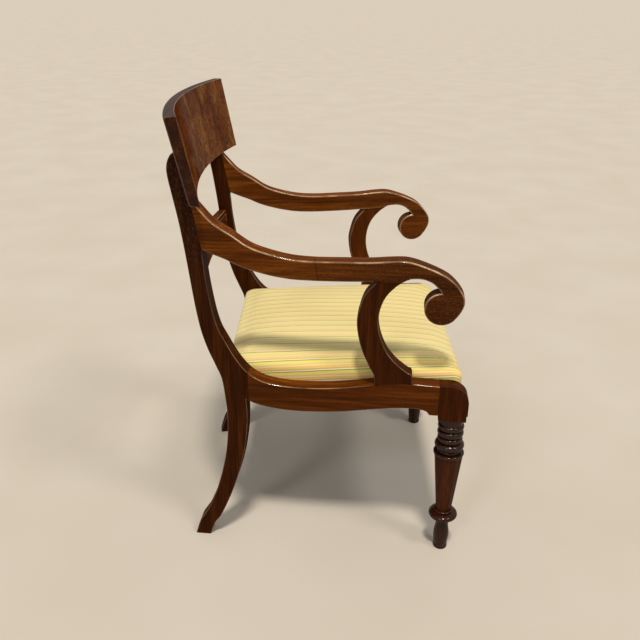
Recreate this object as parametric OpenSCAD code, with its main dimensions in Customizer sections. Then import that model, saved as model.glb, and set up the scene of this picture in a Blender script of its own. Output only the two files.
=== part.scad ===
// Open armchair in polished mahogany: sabre rear legs, turned front legs, scroll arms,
// a curved tablet crest and an upholstered seat that drops into the seat rails.
// The front faces -Y, the floor is z = 0 and the origin is under the middle of the chair.

/* [Overall] */
// Depth from the front of the leg blocks to the back of the crest
chair_d = 580; // [550:1:610]
// Width over the two leg blocks at the front
front_w = 554; // [530:1:590]
// Amount that the seat narrows from the leg blocks to the rear legs
seat_narrowing = 92; // [60:1:110]
// Height of the side rails at the front
rail_z = 408; // [395:1:425]
// Height of the top of the arms above the side rails
arm_rise = 249; // [232:1:272]
// Height of the top of the crest above the arms
back_rise = 253; // [225:1:280]

/* [Rear legs] */
// Thickness of the board that each rear leg is sawn from
leg_t = 32; // [28:1:36]
// Width of a rear leg below the seat
leg_w = 38; // [34:1:42]

/* [Front legs] */
// Largest radius of the turned part
turned_r = 31; // [28:1:34]
// Width of the square block, across the chair
block_w = 50; // [46:1:56]
// Depth of the square block, front to back
block_d = 58; // [52:1:62]
// Radius of the rounded knee on the front of the block
knee_r = 37; // [30:1:40]
// Height of the square block
block_h = 76; // [68:1:84]
// Height of the block's narrower foot
block_foot_h = 14; // [8:1:18]
// Amount that the block's foot is set in, front and back
block_foot_inset = 2; // [1:0.5:4]
// Number of flats on the tapered part
taper_sides = 8; // [6:1:12]

/* [Seat rails] */
// Height of the side rails
side_rail_h = 54; // [48:1:58]
// Thickness of the side rails
side_rail_t = 44; // [40:1:48]
// Depth of the rebate that the seat drops into
rebate_h = 38; // [34:1:40]
// Thickness of the front and back rails
cross_member_t = 32; // [26:1:36]
// Height of the front rail
front_rail_h = 38; // [32:1:39]
// Height of the back rail
back_rail_h = 46; // [38:1:54]
// Length of the shaped bracket under the front of a side rail
bracket_l = 37; // [30:1:44]
// Drop of the shaped bracket
bracket_h = 11; // [8:1:14]

/* [Back] */
// Height of the crest
crest_h = 152; // [130:1:160]
// Thickness of the crest, without its veneer
crest_t = 19; // [16:1:24]
// Thickness of the veneer on the crest
veneer_t = 1; // [1:0.5:2]
// Overhang of the crest at its top beyond the rear legs where the side rails end
crest_overhang = 51; // [40:1:60]
// Amount that each end of the crest draws in towards its bottom
crest_taper = 6; // [0:1:10]
// Bow of the crest, from its middle back to a line between its ends
crest_bow = 37.8; // [30:0.2:46]
// Backward lean of the crest in degrees
crest_lean = 11.3; // [9:0.1:13]
// Radius of the rounded edges on the crest's back
crest_edge_r = 6; // [3:1:8]
// Height of the lower cross rail
cross_rail_h = 54; // [44:1:60]
// Thickness of the lower cross rail
cross_rail_t = 18; // [15:1:21]
// Radius of the lower cross rail's middle line, seen from above
cross_rail_r = 1150; // [1000:10:1300]
// Backward lean of the lower cross rail in degrees
cross_rail_lean = 6; // [4:0.5:8]
// Radius of the groove along the front of the lower cross rail
groove_r = 1.5; // [1:0.5:2.5]
// Depth of the groove below the top of the lower cross rail
groove_drop = 7; // [5:1:10]

/* [Arms] */
// Height of an arm at its level part
arm_h = 38; // [34:1:42]
// Radius of the scroll that ends an arm
scroll_r = 32; // [28:1:34]
// Thickness of the arm supports
support_t = 30; // [26:1:32]

/* [Seat] */
// Gap between the seat and the rails round it
seat_gap = 1.5; // [1:0.5:2.5]
// Distance of the seat's front edge behind the front of the chair
seat_front_gap = 7; // [5:1:10]
// Height of the seat's side, from its underside to the rolled edge
seat_side_h = 38; // [32:1:44]
// Rise of the crown above the rolled edge
seat_crown = 35; // [26:1:42]
// Radius of the seat's corners
seat_corner_r = 16; // [12:1:22]
// Width of the seat frame's rails
seat_rail_w = 50; // [46:1:56]
// Thickness of the seat frame's rails
seat_rail_t = 20; // [18:1:22]
// Thickness of the cover
cover_t = 1.5; // [1:0.5:2]
// Width of the cover that is turned under the frame
cover_turn = 42; // [40:1:45]
// Width of the webbing
webbing_w = 50; // [40:1:56]
// Thickness of the webbing
webbing_t = 1.5; // [1:0.5:2]
// Strips of webbing each way
webbing_count = 3; // [2:1:4]
// Thickness of the hessian
hessian_t = 0.8; // [0.5:0.1:1.5]
// Thickness of the dust cloth
dust_cloth_t = 0.8; // [0.5:0.1:1.2]
// Distance of the tacks under the seat from its edge
tack_inset = 36; // [35:1:38]
// Distance between the tacks under the seat, at most
tack_pitch = 60; // [40:1:80]
// Radius of the tack heads
tack_head_r = 3; // [2.5:0.5:3.5]
// Thickness of the tack heads
tack_head_h = 0.6; // [0.4:0.1:0.9]
// Length of the tacks
tack_l = 9; // [8:1:12]

/* [Fixings] */
// Radius of the screw shanks
screw_r = 2.4; // [2:0.1:3]
// Radius of the screw heads
screw_head_r = 4.5; // [4:0.1:5.5]
// Length of the screws in the corner blocks
corner_screw_l = 24; // [20:1:28]
// Length of the screws in the arms
arm_screw_l = 44; // [36:1:48]
// Length of the screws in the crest
crest_screw_l = 23; // [20:1:24]
// Length of the screws in the arm supports
support_screw_l = 68; // [60:1:74]
// Radius of the dowels
dowel_r = 5; // [4:0.5:6]
// Length of the dowels
dowel_l = 34; // [28:1:40]
// Length of a corner block, along each rail
corner_block_l = 46; // [40:1:52]
// Height of a corner block
corner_block_h = 18; // [14:1:20]
// Thickness of the tenons
tenon_t = 10; // [8:1:12]
// Length of the tenons
tenon_l = 20; // [16:1:24]

/* [Hidden] */
mahogany = "#5a2c10";
mahogany_dark = "#47200c";
figured_mahogany = "#7a4a26";
beech = "#c9a26b";
jute = "#b3925a";
striped_cloth = "#e6d48e";
black_cloth = "#2b2a28";
steel = "#8d8f92";

// Clearances and allowances that every piece shares
fit_gap = 0.1;
rest_gap = 0.3;
overrun = 2;
reach = 200;
screw_tip_h = 5;
screw_head_h = 3;
slot_w = 1;
slot_h = 1;
curve_steps = 5;
round_fn = 64;
curve_fn = 180;
arc_step = 15;
sweep_spare = 4;

// Overall sizes
arm_z = rail_z + arm_rise;
chair_h = arm_z + back_rise;
rear_w = front_w - seat_narrowing;
crest_w = rear_w + 2 * crest_overhang;
block_top_share = 0.995;
block_top_z = block_top_share * rail_z;
turned_l = block_top_z - block_h;

// Where the pieces lie, measured back from the front of the chair
joint_share = 0.7414;
joint_back = joint_share * chair_d;
splay = atan((front_w - rear_w) / 2 / joint_back);
leg_axis_share = 0.475;
leg_axis_back = leg_axis_share * block_d;
leg_overhang = turned_r + block_w / 2 * sin(splay) - leg_axis_back;
front_y = (leg_overhang - chair_d) / 2;
ledge_z = rail_z - rebate_h;
front_rail_front = 2;
front_rail_back = front_rail_front + cross_member_t;
back_rail_share = 0.7932;
back_rail_mid = back_rail_share * chair_d;
back_rail_front = back_rail_mid - cross_member_t / 2;
back_rail_back = back_rail_mid + cross_member_t / 2;
crest_z = chair_h - crest_h;
crest_run = crest_h * tan(crest_lean);
crest_r = crest_w * crest_w / 8 / crest_bow + crest_bow / 2;
crest_axis_y = front_y + chair_d - crest_t - veneer_t - crest_run - crest_r;
crest_sweep = 2 * asin(crest_w / 2 / crest_r) + sweep_spare;
rail_tenon_z = rail_z - side_rail_h / 2;
tenon_h_share = 0.6;
tenon_shoulder = 6;
tenon_inset = (leg_t - tenon_t) / 2;
tack_shank_r = 0.8;

// The rear leg's middle line from the floor up: place, level and width
rear_leg_shares = [
    [0.947, -0.04, 0.80], [0.9225, 0.066, 0.85], [0.908, 0.108, 0.80], [0.8848, 0.162, 0.83],
    [0.843, 0.31, 0.866], [0.808, 0.485, 0.96], [0.791, 0.625, 1.03], [0.7845, 0.755, 1.09],
    [0.788, 0.863, 1.11],
    [0.8015, 0.98, 1.00], [0.824, 1.10, 0.94], [0.8475, 1.229, 0.88], [0.866, 1.38, 0.87],
    [0.880, 1.562, 0.83], [0.8925, 1.795, 0.80], [0.9015, 2.02, 0.85], [0.915, 2.233, 0.81],
    [0.928, 2.395, 0.78], [0.942, 2.565, 0.74], [0.9445, 2.636, 0.63], [0.9425, 2.69, 0.38],
    [0.940, 2.715, 0.14],
];
// The dished top line of a side rail, from the leg block up into the stile, and its depth
seat_line_shares = [
    [0.030, 0.993, 1.0], [0.098, 0.996, 1.0], [0.190, 1.000, 1.0], [0.276, 0.991, 1.0],
    [0.362, 0.973, 1.0], [0.440, 0.956, 1.0], [0.518, 0.947, 1.0], [0.596, 0.946, 1.0],
    [0.656, 0.955, 1.0], [0.700, 0.972, 1.0], [0.743, 1.020, 1.0], [0.781, 1.137, 0.74],
    [0.8135, 1.281, 0.60], [0.837, 1.400, 0.52], [0.855, 1.589, 0.42], [0.867, 1.795, 0.36],
];
// The underside of the bracket at the front of a side rail
bracket_shares = [
    [-0.1, 1.5], [-0.1, 0], [0.40, 0], [0.46, 0.10], [0.52, 0.42], [0.60, 0.70], [0.76, 0.90],
    [1, 1.05], [1, 1.5],
];
// The top edge of an arm, from inside the stile to the bottom of the scroll
arm_top_shares = [
    [0.9224, 2.4545], [0.8741, 2.328], [0.8345, 2.229], [0.7776, 2.146], [0.7259, 2.067],
    [0.6724, 2.022], [0.600, 1.984], [0.5276, 1.972], [0.4534, 1.975], [0.3466, 1.983],
    [0.2776, 1.998], [0.2259, 2.000], [0.1724, 1.966], [0.1172, 1.912], [0.0879, 1.867],
    [0.0621, 1.803], [0.0455, 1.731], [0.0475, 1.651], [0.0707, 1.562], [0.1086, 1.510],
];
// The underside of an arm, from inside the stile to the crotch above the scroll, as a share of
// the depth and, below the top of the arms, of the arm's height
arm_under_shares = [
    [0.8966, -0.289], [0.869, -0.132], [0.8362, 0.079], [0.800, 0.290], [0.7466, 0.658],
    [0.6741, 0.974], [0.600, 1.158], [0.5276, 1.197], [0.4672, 1.184], [0.3966, 1.150],
    [0.3379, 1.105], [0.290, 1.087], [0.2466, 1.029], [0.2224, 0.911], [0.1828, 0.871],
    [0.1509, 1.029], [0.1276, 1.342], [0.1172, 1.579],
];
scroll_shares = [0.1138, 1.6386];
// The rear and front edges of an arm support, from the rail up
support_rear_shares = [
    [0.318, 0.96], [0.318, 1.055], [0.3338, 1.128], [0.3566, 1.247], [0.3724, 1.374],
    [0.3793, 1.508], [0.3734, 1.607], [0.356, 1.730], [0.3203, 1.83], [0.290, 1.89],
];
support_front_shares = [
    [0.1926, 0.96], [0.1926, 1.07], [0.2093, 1.100], [0.2422, 1.161], [0.2721, 1.240],
    [0.291, 1.3205], [0.305, 1.419], [0.3102, 1.517], [0.305, 1.624], [0.2883, 1.722],
    [0.2591, 1.802], [0.227, 1.857], [0.200, 1.90],
];
// The turned leg's rings: middle height, half height, radius and radius at their edges
ring_shares = [
    [0.932, 0.0195, 0.85, 0.74], [0.887, 0.021, 0.85, 0.72], [0.843, 0.019, 0.82, 0.70],
    [0.799, 0.024, 0.96, 0.72], [0.7625, 0.0115, 0.80, 0.70], [0.7405, 0.0095, 1.0, 0.93],
];
neck_share = 0.74;
taper_top_shares = [0.955, 0.731];
taper_bottom_shares = [0.53, 0.310];
flat_run_out_share = 0.0015;
foot_bead_shares = [
    [0.300, 0.0075, 0.63, 0.50], [0.267, 0.024, 0.97, 0.54], [0.2345, 0.0085, 0.66, 0.48],
];
foot_shares = [
    [0.42, 0.222], [0.415, 0.195], [0.48, 0.150], [0.525, 0.105], [0.49, 0.06], [0.45, 0.03],
];
foot_ring_shares = [0.0125, 0.0125, 0.48, 0.44];
// The seat's rings from its rolled edge to the crown: reach from the middle and rise
seat_ring_shares = [
    [0.987, 0.18], [0.960, 0.34], [0.900, 0.50], [0.760, 0.71], [0.560, 0.87], [0.300, 0.975],
];
seat_round_share = 0.8;
// Where the screws and dowels go: place and level of the head, or of a dowel's middle
arm_screw_shares = [0.9138, 2.17];
crest_screw_shares = [[0.9448, 2.494], [0.950, 2.6245]];
support_screw_shares = [0.2534, 0];
support_dowel_shares = [0.2707, 1.85];
screw_head_lift = 6;
corner_screw_share = 0.7;
corner_grip_share = 0.2;
cross_rail_shares = [0.893, 1.75];

// A level given as a share: 0 to 1 is floor to rail, 1 to 2 rail to arm, 2 to 3 arm to crest
function level(s) =
    s < 1 ? s * rail_z
    : s < 2 ? rail_z + (s - 1) * (arm_z - rail_z)
    : arm_z + (s - 2) * (chair_h - arm_z);
// Distance along a splayed side for a distance back from the front
function along(back) = back / cos(splay);
function side_point(s) = [along(s[0] * chair_d), level(s[1])];
function side_line(shares, width) = [
    for (s = shares) concat(side_point(s), [s[2] * width]),
];
function smooth_point(a, b, c, d, t) =
    0.5 * (2 * b + (c - a) * t + (2 * a - 5 * b + 4 * c - d) * t * t
    + (3 * b - 3 * c + d - a) * t * t * t);
// A smooth curve through a list of points
function smooth(pts) = let (last = len(pts) - 1) concat(
    [for (i = [0 : last - 1]) for (k = [0 : curve_steps - 1])
        smooth_point(pts[max(i - 1, 0)], pts[i], pts[i + 1], pts[min(i + 2, last)],
            k / curve_steps)],
    [pts[last]]);
// The direction to the right of a line's run at one of its points
function right_of(pts, i) = let (
    run = pts[min(i + 1, len(pts) - 1)] - pts[max(i - 1, 0)],
    size = norm([run.x, run.y])
) [run.y / size, -run.x / size];
// An outline that follows a line, between two shares of its width to the right of it
function band(pts, from, to) = concat(
    [for (i = [0 : len(pts) - 1])
        [pts[i].x, pts[i].y] + right_of(pts, i) * pts[i].z * from],
    [for (i = [len(pts) - 1 : -1 : 0])
        [pts[i].x, pts[i].y] + right_of(pts, i) * pts[i].z * to]);
function reversed(list) = [for (i = [len(list) - 1 : -1 : 0]) list[i]];
// Half the width over the side frames' outer faces at a distance back
function half_width(back) = front_w / 2 - back * tan(splay);
// Half the width between the side frames' planes at an inset, at a distance back
function half_inside(back, inset) = half_width(back) - inset / cos(splay);
// The place on the floor of a point along a side, at an inset
function floor_point(run, inset) = [
    front_w / 2 - run * sin(splay) - inset * cos(splay),
    front_y + run * cos(splay) - inset * sin(splay),
];

// Places its children in the left side frame: x runs back, y up and z outwards
module side_space() {
    translate([front_w / 2, front_y, 0])
        rotate([0, 0, 90 + splay])
            rotate([90, 0, 0])
                children();
}
// A board of the side frame, its outer face at an inset from the frame's outer face
module side_board(thick, inset = 0) {
    side_space()
        translate([0, 0, -inset - thick])
            linear_extrude(thick)
                children();
}
module on_side(right) {
    if (right) {
        mirror([1, 0, 0]) children();
    } else {
        children();
    }
}
module on_both_sides() {
    on_side(true) children();
    on_side(false) children();
}
// All that lies outside the planes at an inset, to trim what runs between the side frames
module outside_sides(inset) {
    on_both_sides()
        side_space()
            translate([-reach, -reach, -inset])
                cube([chair_d + 2 * reach, chair_h + 2 * reach, reach]);
}
// A block right across the chair between two distances back and two heights
module across(back_from, back_to, z_from, z_to) {
    translate([-front_w / 2, front_y + back_from, z_from])
        cube([front_w, back_to - back_from, z_to - z_from]);
}

// Fixings: a screw's head is at the start and its tip points along z
module wood_screw(length) {
    color(steel)
        difference() {
            union() {
                cylinder(h = screw_head_h, r1 = screw_head_r, r2 = screw_r, $fn = round_fn);
                cylinder(h = length - screw_tip_h, r = screw_r, $fn = round_fn);
                translate([0, 0, length - screw_tip_h])
                    cylinder(h = screw_tip_h, r1 = screw_r, r2 = 0, $fn = round_fn);
            }
            translate([-screw_head_r, -slot_w / 2, -slot_h])
                cube([2 * screw_head_r, slot_w, 2 * slot_h]);
        }
}
// The hole for a screw, with a wider hole for its head that runs out behind it
module screw_hole(length) {
    cylinder(h = length + fit_gap, r = screw_r + fit_gap, $fn = round_fn);
    cylinder(h = screw_head_h, r1 = screw_head_r + fit_gap, r2 = screw_r + fit_gap,
        $fn = round_fn);
    translate([0, 0, -reach])
        cylinder(h = reach, r = screw_head_r + fit_gap, $fn = round_fn);
}
module at_arm_screws() {
    on_both_sides()
        side_space()
            translate(concat(side_point(arm_screw_shares), [-leg_t / 2]))
                rotate([0, -90, 0])
                    children();
}
module at_crest_screws() {
    on_both_sides()
        side_space()
            for (place = crest_screw_shares)
                translate(concat(side_point(place), [-leg_t / 2]))
                    rotate([0, -90, 0])
                        children();
}
module at_support_screws() {
    on_both_sides()
        side_space()
            translate([side_point(support_screw_shares).x,
                    rail_z - side_rail_h + screw_head_lift, -support_t / 2])
                rotate([-90, 0, 0])
                    children();
}
module at_support_dowels() {
    on_both_sides()
        side_space()
            translate(concat(side_point(support_dowel_shares), [-support_t / 2]))
                rotate([-90, 0, 0])
                    children();
}
// Two screws in each corner block, one into the side rail and one into the rail across
module at_corner_screws() {
    run = corner_screw_share * corner_block_l;
    grip = corner_grip_share * corner_block_l;
    on_both_sides() {
        for (place = [front_rail_back + run, back_rail_front - run])
            side_space()
                translate([along(place), corner_block_z + corner_block_h / 2,
                        -side_rail_t - grip])
                    children();
        translate([half_inside(front_rail_back, side_rail_t) - run,
                front_y + front_rail_back + grip, corner_block_z + corner_block_h / 2])
            rotate([90, 0, 0])
                children();
        translate([half_inside(back_rail_front, side_rail_t) - run,
                front_y + back_rail_front - grip, corner_block_z + corner_block_h / 2])
            rotate([-90, 0, 0])
                children();
    }
}

// Outlines in the side frame
module seat_line_outline() {
    polygon(band(smooth(side_line(seat_line_shares, side_rail_h)), 0, 1));
}
module rear_leg_outline() {
    intersection() {
        polygon(band(smooth(side_line(rear_leg_shares, leg_w)), -0.5, 0.5));
        square([along(chair_d) + reach, chair_h]);
    }
    intersection() {
        seat_line_outline();
        translate([along(joint_back), 0])
            square([along(chair_d), chair_h]);
    }
}
module arm_outline() {
    difference() {
        intersection() {
            union() {
                polygon(concat(
                    smooth([for (s = arm_top_shares) side_point(s)]),
                    [side_point(scroll_shares)],
                    reversed(smooth([
                        for (s = arm_under_shares) [along(s.x * chair_d), arm_z - s.y * arm_h],
                    ]))));
                translate(side_point(scroll_shares))
                    circle(scroll_r, $fn = round_fn);
            }
            square([along(chair_d), crest_z]);
        }
        rear_leg_outline();
        translate([along(joint_back), 0])
            square([along(chair_d), arm_z - arm_h]);
    }
}
module support_outline() {
    difference() {
        polygon(concat(
            smooth([for (s = support_rear_shares) side_point(s)]),
            reversed(smooth([for (s = support_front_shares) side_point(s)]))));
        arm_outline();
        seat_line_outline();
    }
}
module side_rail_outline() {
    intersection() {
        seat_line_outline();
        translate([along(block_d), 0])
            square([along(joint_back - block_d), chair_h]);
    }
    intersection() {
        translate([along(block_d), block_top_z - side_rail_h - bracket_h])
            polygon([for (s = bracket_shares) [s.x * bracket_l, s.y * bracket_h]]);
        translate([along(block_d), 0])
            square([along(joint_back - block_d), chair_h]);
    }
}
module block_outline() {
    difference() {
        union() {
            translate([-overrun, turned_l + block_foot_h])
                square([along(block_d) + overrun, block_top_z - turned_l - block_foot_h]);
            translate([block_foot_inset, turned_l])
                square([along(block_d) - 2 * block_foot_inset, block_foot_h]);
        }
        difference() {
            translate([-2 * overrun, block_top_z - knee_r])
                square([knee_r + 2 * overrun, knee_r + overrun]);
            translate([knee_r, block_top_z - knee_r])
                circle(knee_r, $fn = round_fn);
        }
    }
}

// Tenons, drawn a little larger for their mortises
module rail_tenons(gap = 0) {
    tenon_h = tenon_h_share * side_rail_h;
    for (start = [along(block_d) - tenon_l, along(joint_back) - overrun])
        side_board(tenon_t + 2 * gap, tenon_inset - gap)
            translate([start - gap, rail_tenon_z - tenon_h / 2 - gap])
                square([tenon_l + overrun + 2 * gap, tenon_h + 2 * gap]);
}
module front_rail_tenons(gap = 0) {
    middle = (front_rail_front + front_rail_back) / 2;
    difference() {
        across(middle - tenon_t / 2 - gap, middle + tenon_t / 2 + gap,
            ledge_z - front_rail_h + tenon_shoulder - gap, ledge_z - tenon_shoulder + gap);
        outside_sides(block_w - tenon_l - gap);
    }
}
module back_rail_tenons(gap = 0) {
    difference() {
        across(back_rail_mid - tenon_t / 2 - gap, back_rail_mid + tenon_t / 2 + gap,
            ledge_z - back_rail_h + tenon_shoulder - gap, ledge_z - tenon_shoulder + gap);
        outside_sides(leg_t - tenon_l - gap);
    }
}
module cross_rail_tenons(gap = 0) {
    back = cross_rail_shares[0] * chair_d;
    height = tenon_h_share * cross_rail_h;
    difference() {
        across(back - tenon_t / 2 - gap, back + tenon_t / 2 + gap,
            level(cross_rail_shares[1]) - height / 2 - gap,
            level(cross_rail_shares[1]) + height / 2 + gap);
        outside_sides(leg_t - tenon_l - gap);
        translate([-cross_tenon_from, -chair_d, 0])
            cube([2 * cross_tenon_from, 2 * chair_d, chair_h]);
    }
}

// Rear legs
module rear_leg() {
    color(mahogany)
        difference() {
            side_board(leg_t) rear_leg_outline();
            crest_blank();
            rail_tenons(fit_gap);
            back_rail_tenons(fit_gap);
            cross_rail_tenons(fit_gap);
            at_arm_screws() screw_hole(arm_screw_l);
            at_crest_screws() screw_hole(crest_screw_l);
        }
}
module rear_leg_right() { on_side(true) rear_leg(); }
module rear_leg_left() { on_side(false) rear_leg(); }

// Side rails, with the rebate that the seat drops into
module side_rail() {
    color(mahogany)
        difference() {
            union() {
                side_board(side_rail_t) side_rail_outline();
                rail_tenons();
            }
            side_space()
                translate([0, ledge_z, -side_rail_t - overrun])
                    cube([chair_d, reach, side_rail_t + overrun - leg_t]);
            at_support_screws() screw_hole(support_screw_l);
            at_corner_screws() screw_hole(corner_screw_l);
        }
}
module side_rail_right() { on_side(true) side_rail(); }
module side_rail_left() { on_side(false) side_rail(); }

// Front legs: half a bead's outline, from its lower edge to its upper edge
function bead(s) = [
    for (a = [-90 : arc_step : 90])
        [(s[3] + (s[2] - s[3]) * cos(a)) * turned_r, (s[0] + s[1] * sin(a)) * turned_l],
];
function turned_points(shares) = [for (s = shares) [s.x * turned_r, s.y * turned_l]];
module turned_leg() {
    profile = concat(
        [[0, 0]], bead(foot_ring_shares),
        reversed(smooth(turned_points(foot_shares))),
        [for (i = [len(foot_bead_shares) - 1 : -1 : 0]) for (p = bead(foot_bead_shares[i])) p],
        turned_points([taper_bottom_shares, taper_top_shares]),
        [for (i = [len(ring_shares) - 1 : -1 : 0]) for (p = bead(ring_shares[i])) p],
        [[neck_share * turned_r, turned_l + overrun], [0, turned_l + overrun]]);
    place = floor_point(along(leg_axis_back), block_w / 2);
    translate([place.x, place.y, 0])
        difference() {
            rotate_extrude($fn = curve_fn) polygon(profile);
            taper_flats();
        }
}
// What is planed off the tapered part to leave its flats
module taper_flats() {
    low = taper_bottom_shares * turned_r;
    high = taper_top_shares * turned_r;
    length = (taper_top_shares.y - taper_bottom_shares.y) * turned_l;
    rise = (high.x - low.x) * cos(180 / taper_sides);
    intersection() {
        for (i = [0 : taper_sides - 1])
            rotate([0, 0, 360 * i / taper_sides])
                translate([low.x * cos(180 / taper_sides), -high.x,
                        taper_bottom_shares.y * turned_l])
                    rotate([0, atan(rise / length), 0])
                        translate([0, 0, -length])
                            cube([high.x, 2 * high.x, 3 * length]);
        translate([0, 0, (taper_bottom_shares.y - flat_run_out_share) * turned_l])
            cylinder(h = length + 2 * flat_run_out_share * turned_l, r = 2 * turned_r,
                $fn = round_fn);
    }
}
module front_leg() {
    color(mahogany_dark)
        union() {
            turned_leg();
            difference() {
                side_board(block_w) block_outline();
                translate([-chair_d, front_y - reach, 0])
                    cube([2 * chair_d, reach, chair_h]);
                side_space()
                    translate([-reach, ledge_z, -block_w - overrun])
                        cube([chair_d, reach, block_w + overrun - leg_t]);
                rail_tenons(fit_gap);
                front_rail_tenons(fit_gap);
            }
        }
}
module front_leg_right() { on_side(true) front_leg(); }
module front_leg_left() { on_side(false) front_leg(); }

// Front and back rails
module front_rail() {
    color(mahogany)
        difference() {
            union() {
                difference() {
                    across(front_rail_front, front_rail_back, ledge_z - front_rail_h, ledge_z);
                    outside_sides(block_w);
                }
                front_rail_tenons();
            }
            at_corner_screws() screw_hole(corner_screw_l);
        }
}
module back_rail() {
    color(mahogany)
        difference() {
            union() {
                difference() {
                    across(back_rail_front, back_rail_back, ledge_z - back_rail_h, ledge_z);
                    outside_sides(leg_t);
                }
                back_rail_tenons();
            }
            at_corner_screws() screw_hole(corner_screw_l);
        }
}

// Crest: a curved board that leans back, trimmed to its width over the ends
module crest_trim() {
    translate([0, chair_d, 0])
        rotate([90, 0, 0])
            linear_extrude(2 * chair_d)
                polygon([
                    [-crest_w / 2 + crest_taper, crest_z], [crest_w / 2 - crest_taper, crest_z],
                    [crest_w / 2, chair_h], [-crest_w / 2, chair_h],
                ]);
}
module curved_board(axis_y, sweep) {
    translate([0, axis_y, 0])
        rotate([0, 0, 90 - sweep / 2])
            rotate_extrude(angle = sweep, $fn = curve_fn)
                children();
}
module crest_body() {
    front = crest_r + veneer_t;
    back = front + crest_t;
    edge = crest_edge_r;
    section = concat(
        [[front, crest_z]],
        [for (a = [-90 : arc_step : 0])
            [back - edge + edge * cos(a), crest_z + edge + edge * sin(a)]],
        [for (a = [0 : arc_step : 90])
            [back + crest_run - edge + edge * cos(a), chair_h - edge + edge * sin(a)]],
        [[front + crest_run, chair_h]]);
    intersection() {
        curved_board(crest_axis_y, crest_sweep) polygon(section);
        crest_trim();
    }
}
// The crest with its veneer and square edges, which the stiles are cut to fit
module crest_blank() {
    curved_board(crest_axis_y, crest_sweep)
        polygon([
            [crest_r, crest_z], [crest_r + veneer_t + crest_t, crest_z],
            [crest_r + veneer_t + crest_t + crest_run, chair_h], [crest_r + crest_run, chair_h],
        ]);
}
module crest_rail() {
    color(mahogany)
        difference() {
            crest_body();
            at_crest_screws() screw_hole(crest_screw_l);
        }
}
module crest_veneer() {
    color(figured_mahogany)
        intersection() {
            curved_board(crest_axis_y, crest_sweep)
                polygon([
                    [crest_r, crest_z], [crest_r + veneer_t, crest_z],
                    [crest_r + veneer_t + crest_run, chair_h], [crest_r + crest_run, chair_h],
                ]);
            crest_trim();
        }
}

// Lower cross rail, curved like the crest and tenoned into the stiles
cross_back = cross_rail_shares[0] * chair_d;
cross_end_x = half_inside(cross_back, leg_t / 2);
cross_tenon_from = half_inside(cross_back, leg_t) - tenon_l / 2;
cross_sweep = 2 * asin(cross_end_x / cross_rail_r) + sweep_spare;
cross_axis_y = front_y + cross_back
    - sqrt(cross_rail_r * cross_rail_r - cross_end_x * cross_end_x);
module cross_rail() {
    low = level(cross_rail_shares[1]) - cross_rail_h / 2;
    run = cross_rail_h * tan(cross_rail_lean);
    front = cross_rail_r - cross_rail_t / 2 - run / 2;
    color(mahogany)
        union() {
            difference() {
                curved_board(cross_axis_y, cross_sweep)
                    polygon([
                        [front, low], [front + cross_rail_t, low],
                        [front + cross_rail_t + run, low + cross_rail_h],
                        [front + run, low + cross_rail_h],
                    ]);
                outside_sides(leg_t);
                translate([0, 0, low + cross_rail_h - groove_drop])
                    curved_board(cross_axis_y, cross_sweep)
                        translate([front + run, 0])
                            circle(groove_r, $fn = round_fn);
            }
            cross_rail_tenons();
        }
}

// Arms and their supports
module arm() {
    color(mahogany)
        difference() {
            side_board(leg_t) arm_outline();
            crest_blank();
            at_arm_screws() screw_hole(arm_screw_l);
            at_support_dowels()
                cylinder(h = dowel_l + 2 * fit_gap, r = dowel_r + fit_gap, center = true,
                    $fn = round_fn);
        }
}
module arm_right() { on_side(true) arm(); }
module arm_left() { on_side(false) arm(); }
module arm_support() {
    color(mahogany)
        difference() {
            side_board(support_t) support_outline();
            at_support_screws() screw_hole(support_screw_l);
            at_support_dowels()
                cylinder(h = dowel_l + 2 * fit_gap, r = dowel_r + fit_gap, center = true,
                    $fn = round_fn);
        }
}
module arm_support_right() { on_side(true) arm_support(); }
module arm_support_left() { on_side(false) arm_support(); }

// Glued blocks in the corners of the rails
corner_block_z = ledge_z - overrun - corner_block_h;
module corner_block(back, sign) {
    x = half_inside(back, side_rail_t);
    y = front_y + back;
    translate([0, 0, corner_block_z])
        linear_extrude(corner_block_h)
            polygon([
                [x, y],
                [x - sign * corner_block_l * sin(splay), y + sign * corner_block_l * cos(splay)],
                [x - corner_block_l, y],
            ]);
}
module corner_blocks() {
    color(beech)
        difference() {
            on_both_sides() {
                corner_block(front_rail_back, 1);
                corner_block(back_rail_front, -1);
            }
            on_both_sides()
                side_space()
                    translate([-overrun, 0, -block_w - fit_gap])
                        cube([along(block_d) + overrun + fit_gap, chair_h, block_w]);
            at_corner_screws() screw_hole(corner_screw_l);
        }
}
module corner_block_screws() { at_corner_screws() wood_screw(corner_screw_l); }
module support_dowels() {
    color(beech)
        at_support_dowels()
            cylinder(h = dowel_l, r = dowel_r, center = true, $fn = round_fn);
}
module support_screws() { at_support_screws() wood_screw(support_screw_l); }
module arm_screws() { at_arm_screws() wood_screw(arm_screw_l); }
module crest_screws() { at_crest_screws() wood_screw(crest_screw_l); }
module plug_blank() {
    translate([0, 0, -reach])
        cylinder(h = reach, r = screw_head_r, $fn = round_fn);
}
module screw_plugs() {
    color(mahogany)
        intersection() {
            union() {
                at_arm_screws() plug_blank();
                at_crest_screws() plug_blank();
            }
            on_both_sides()
                side_board(leg_t) rear_leg_outline();
        }
}

// The drop-in seat, from the dust cloth up
dust_cloth_z = ledge_z + rest_gap;
cover_z = dust_cloth_z + dust_cloth_t;
frame_z = cover_z + cover_t;
webbing_z = frame_z + seat_rail_t;
hessian_z = webbing_z + 2 * webbing_t + tack_head_h;
stuffing_z = hessian_z + hessian_t;
roll_z = cover_z + seat_side_h;
seat_back = back_rail_back - seat_gap;
seat_mid_back = (seat_front_gap + seat_back) / 2;
corner_steps = 5;
edge_steps = 6;
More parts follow.
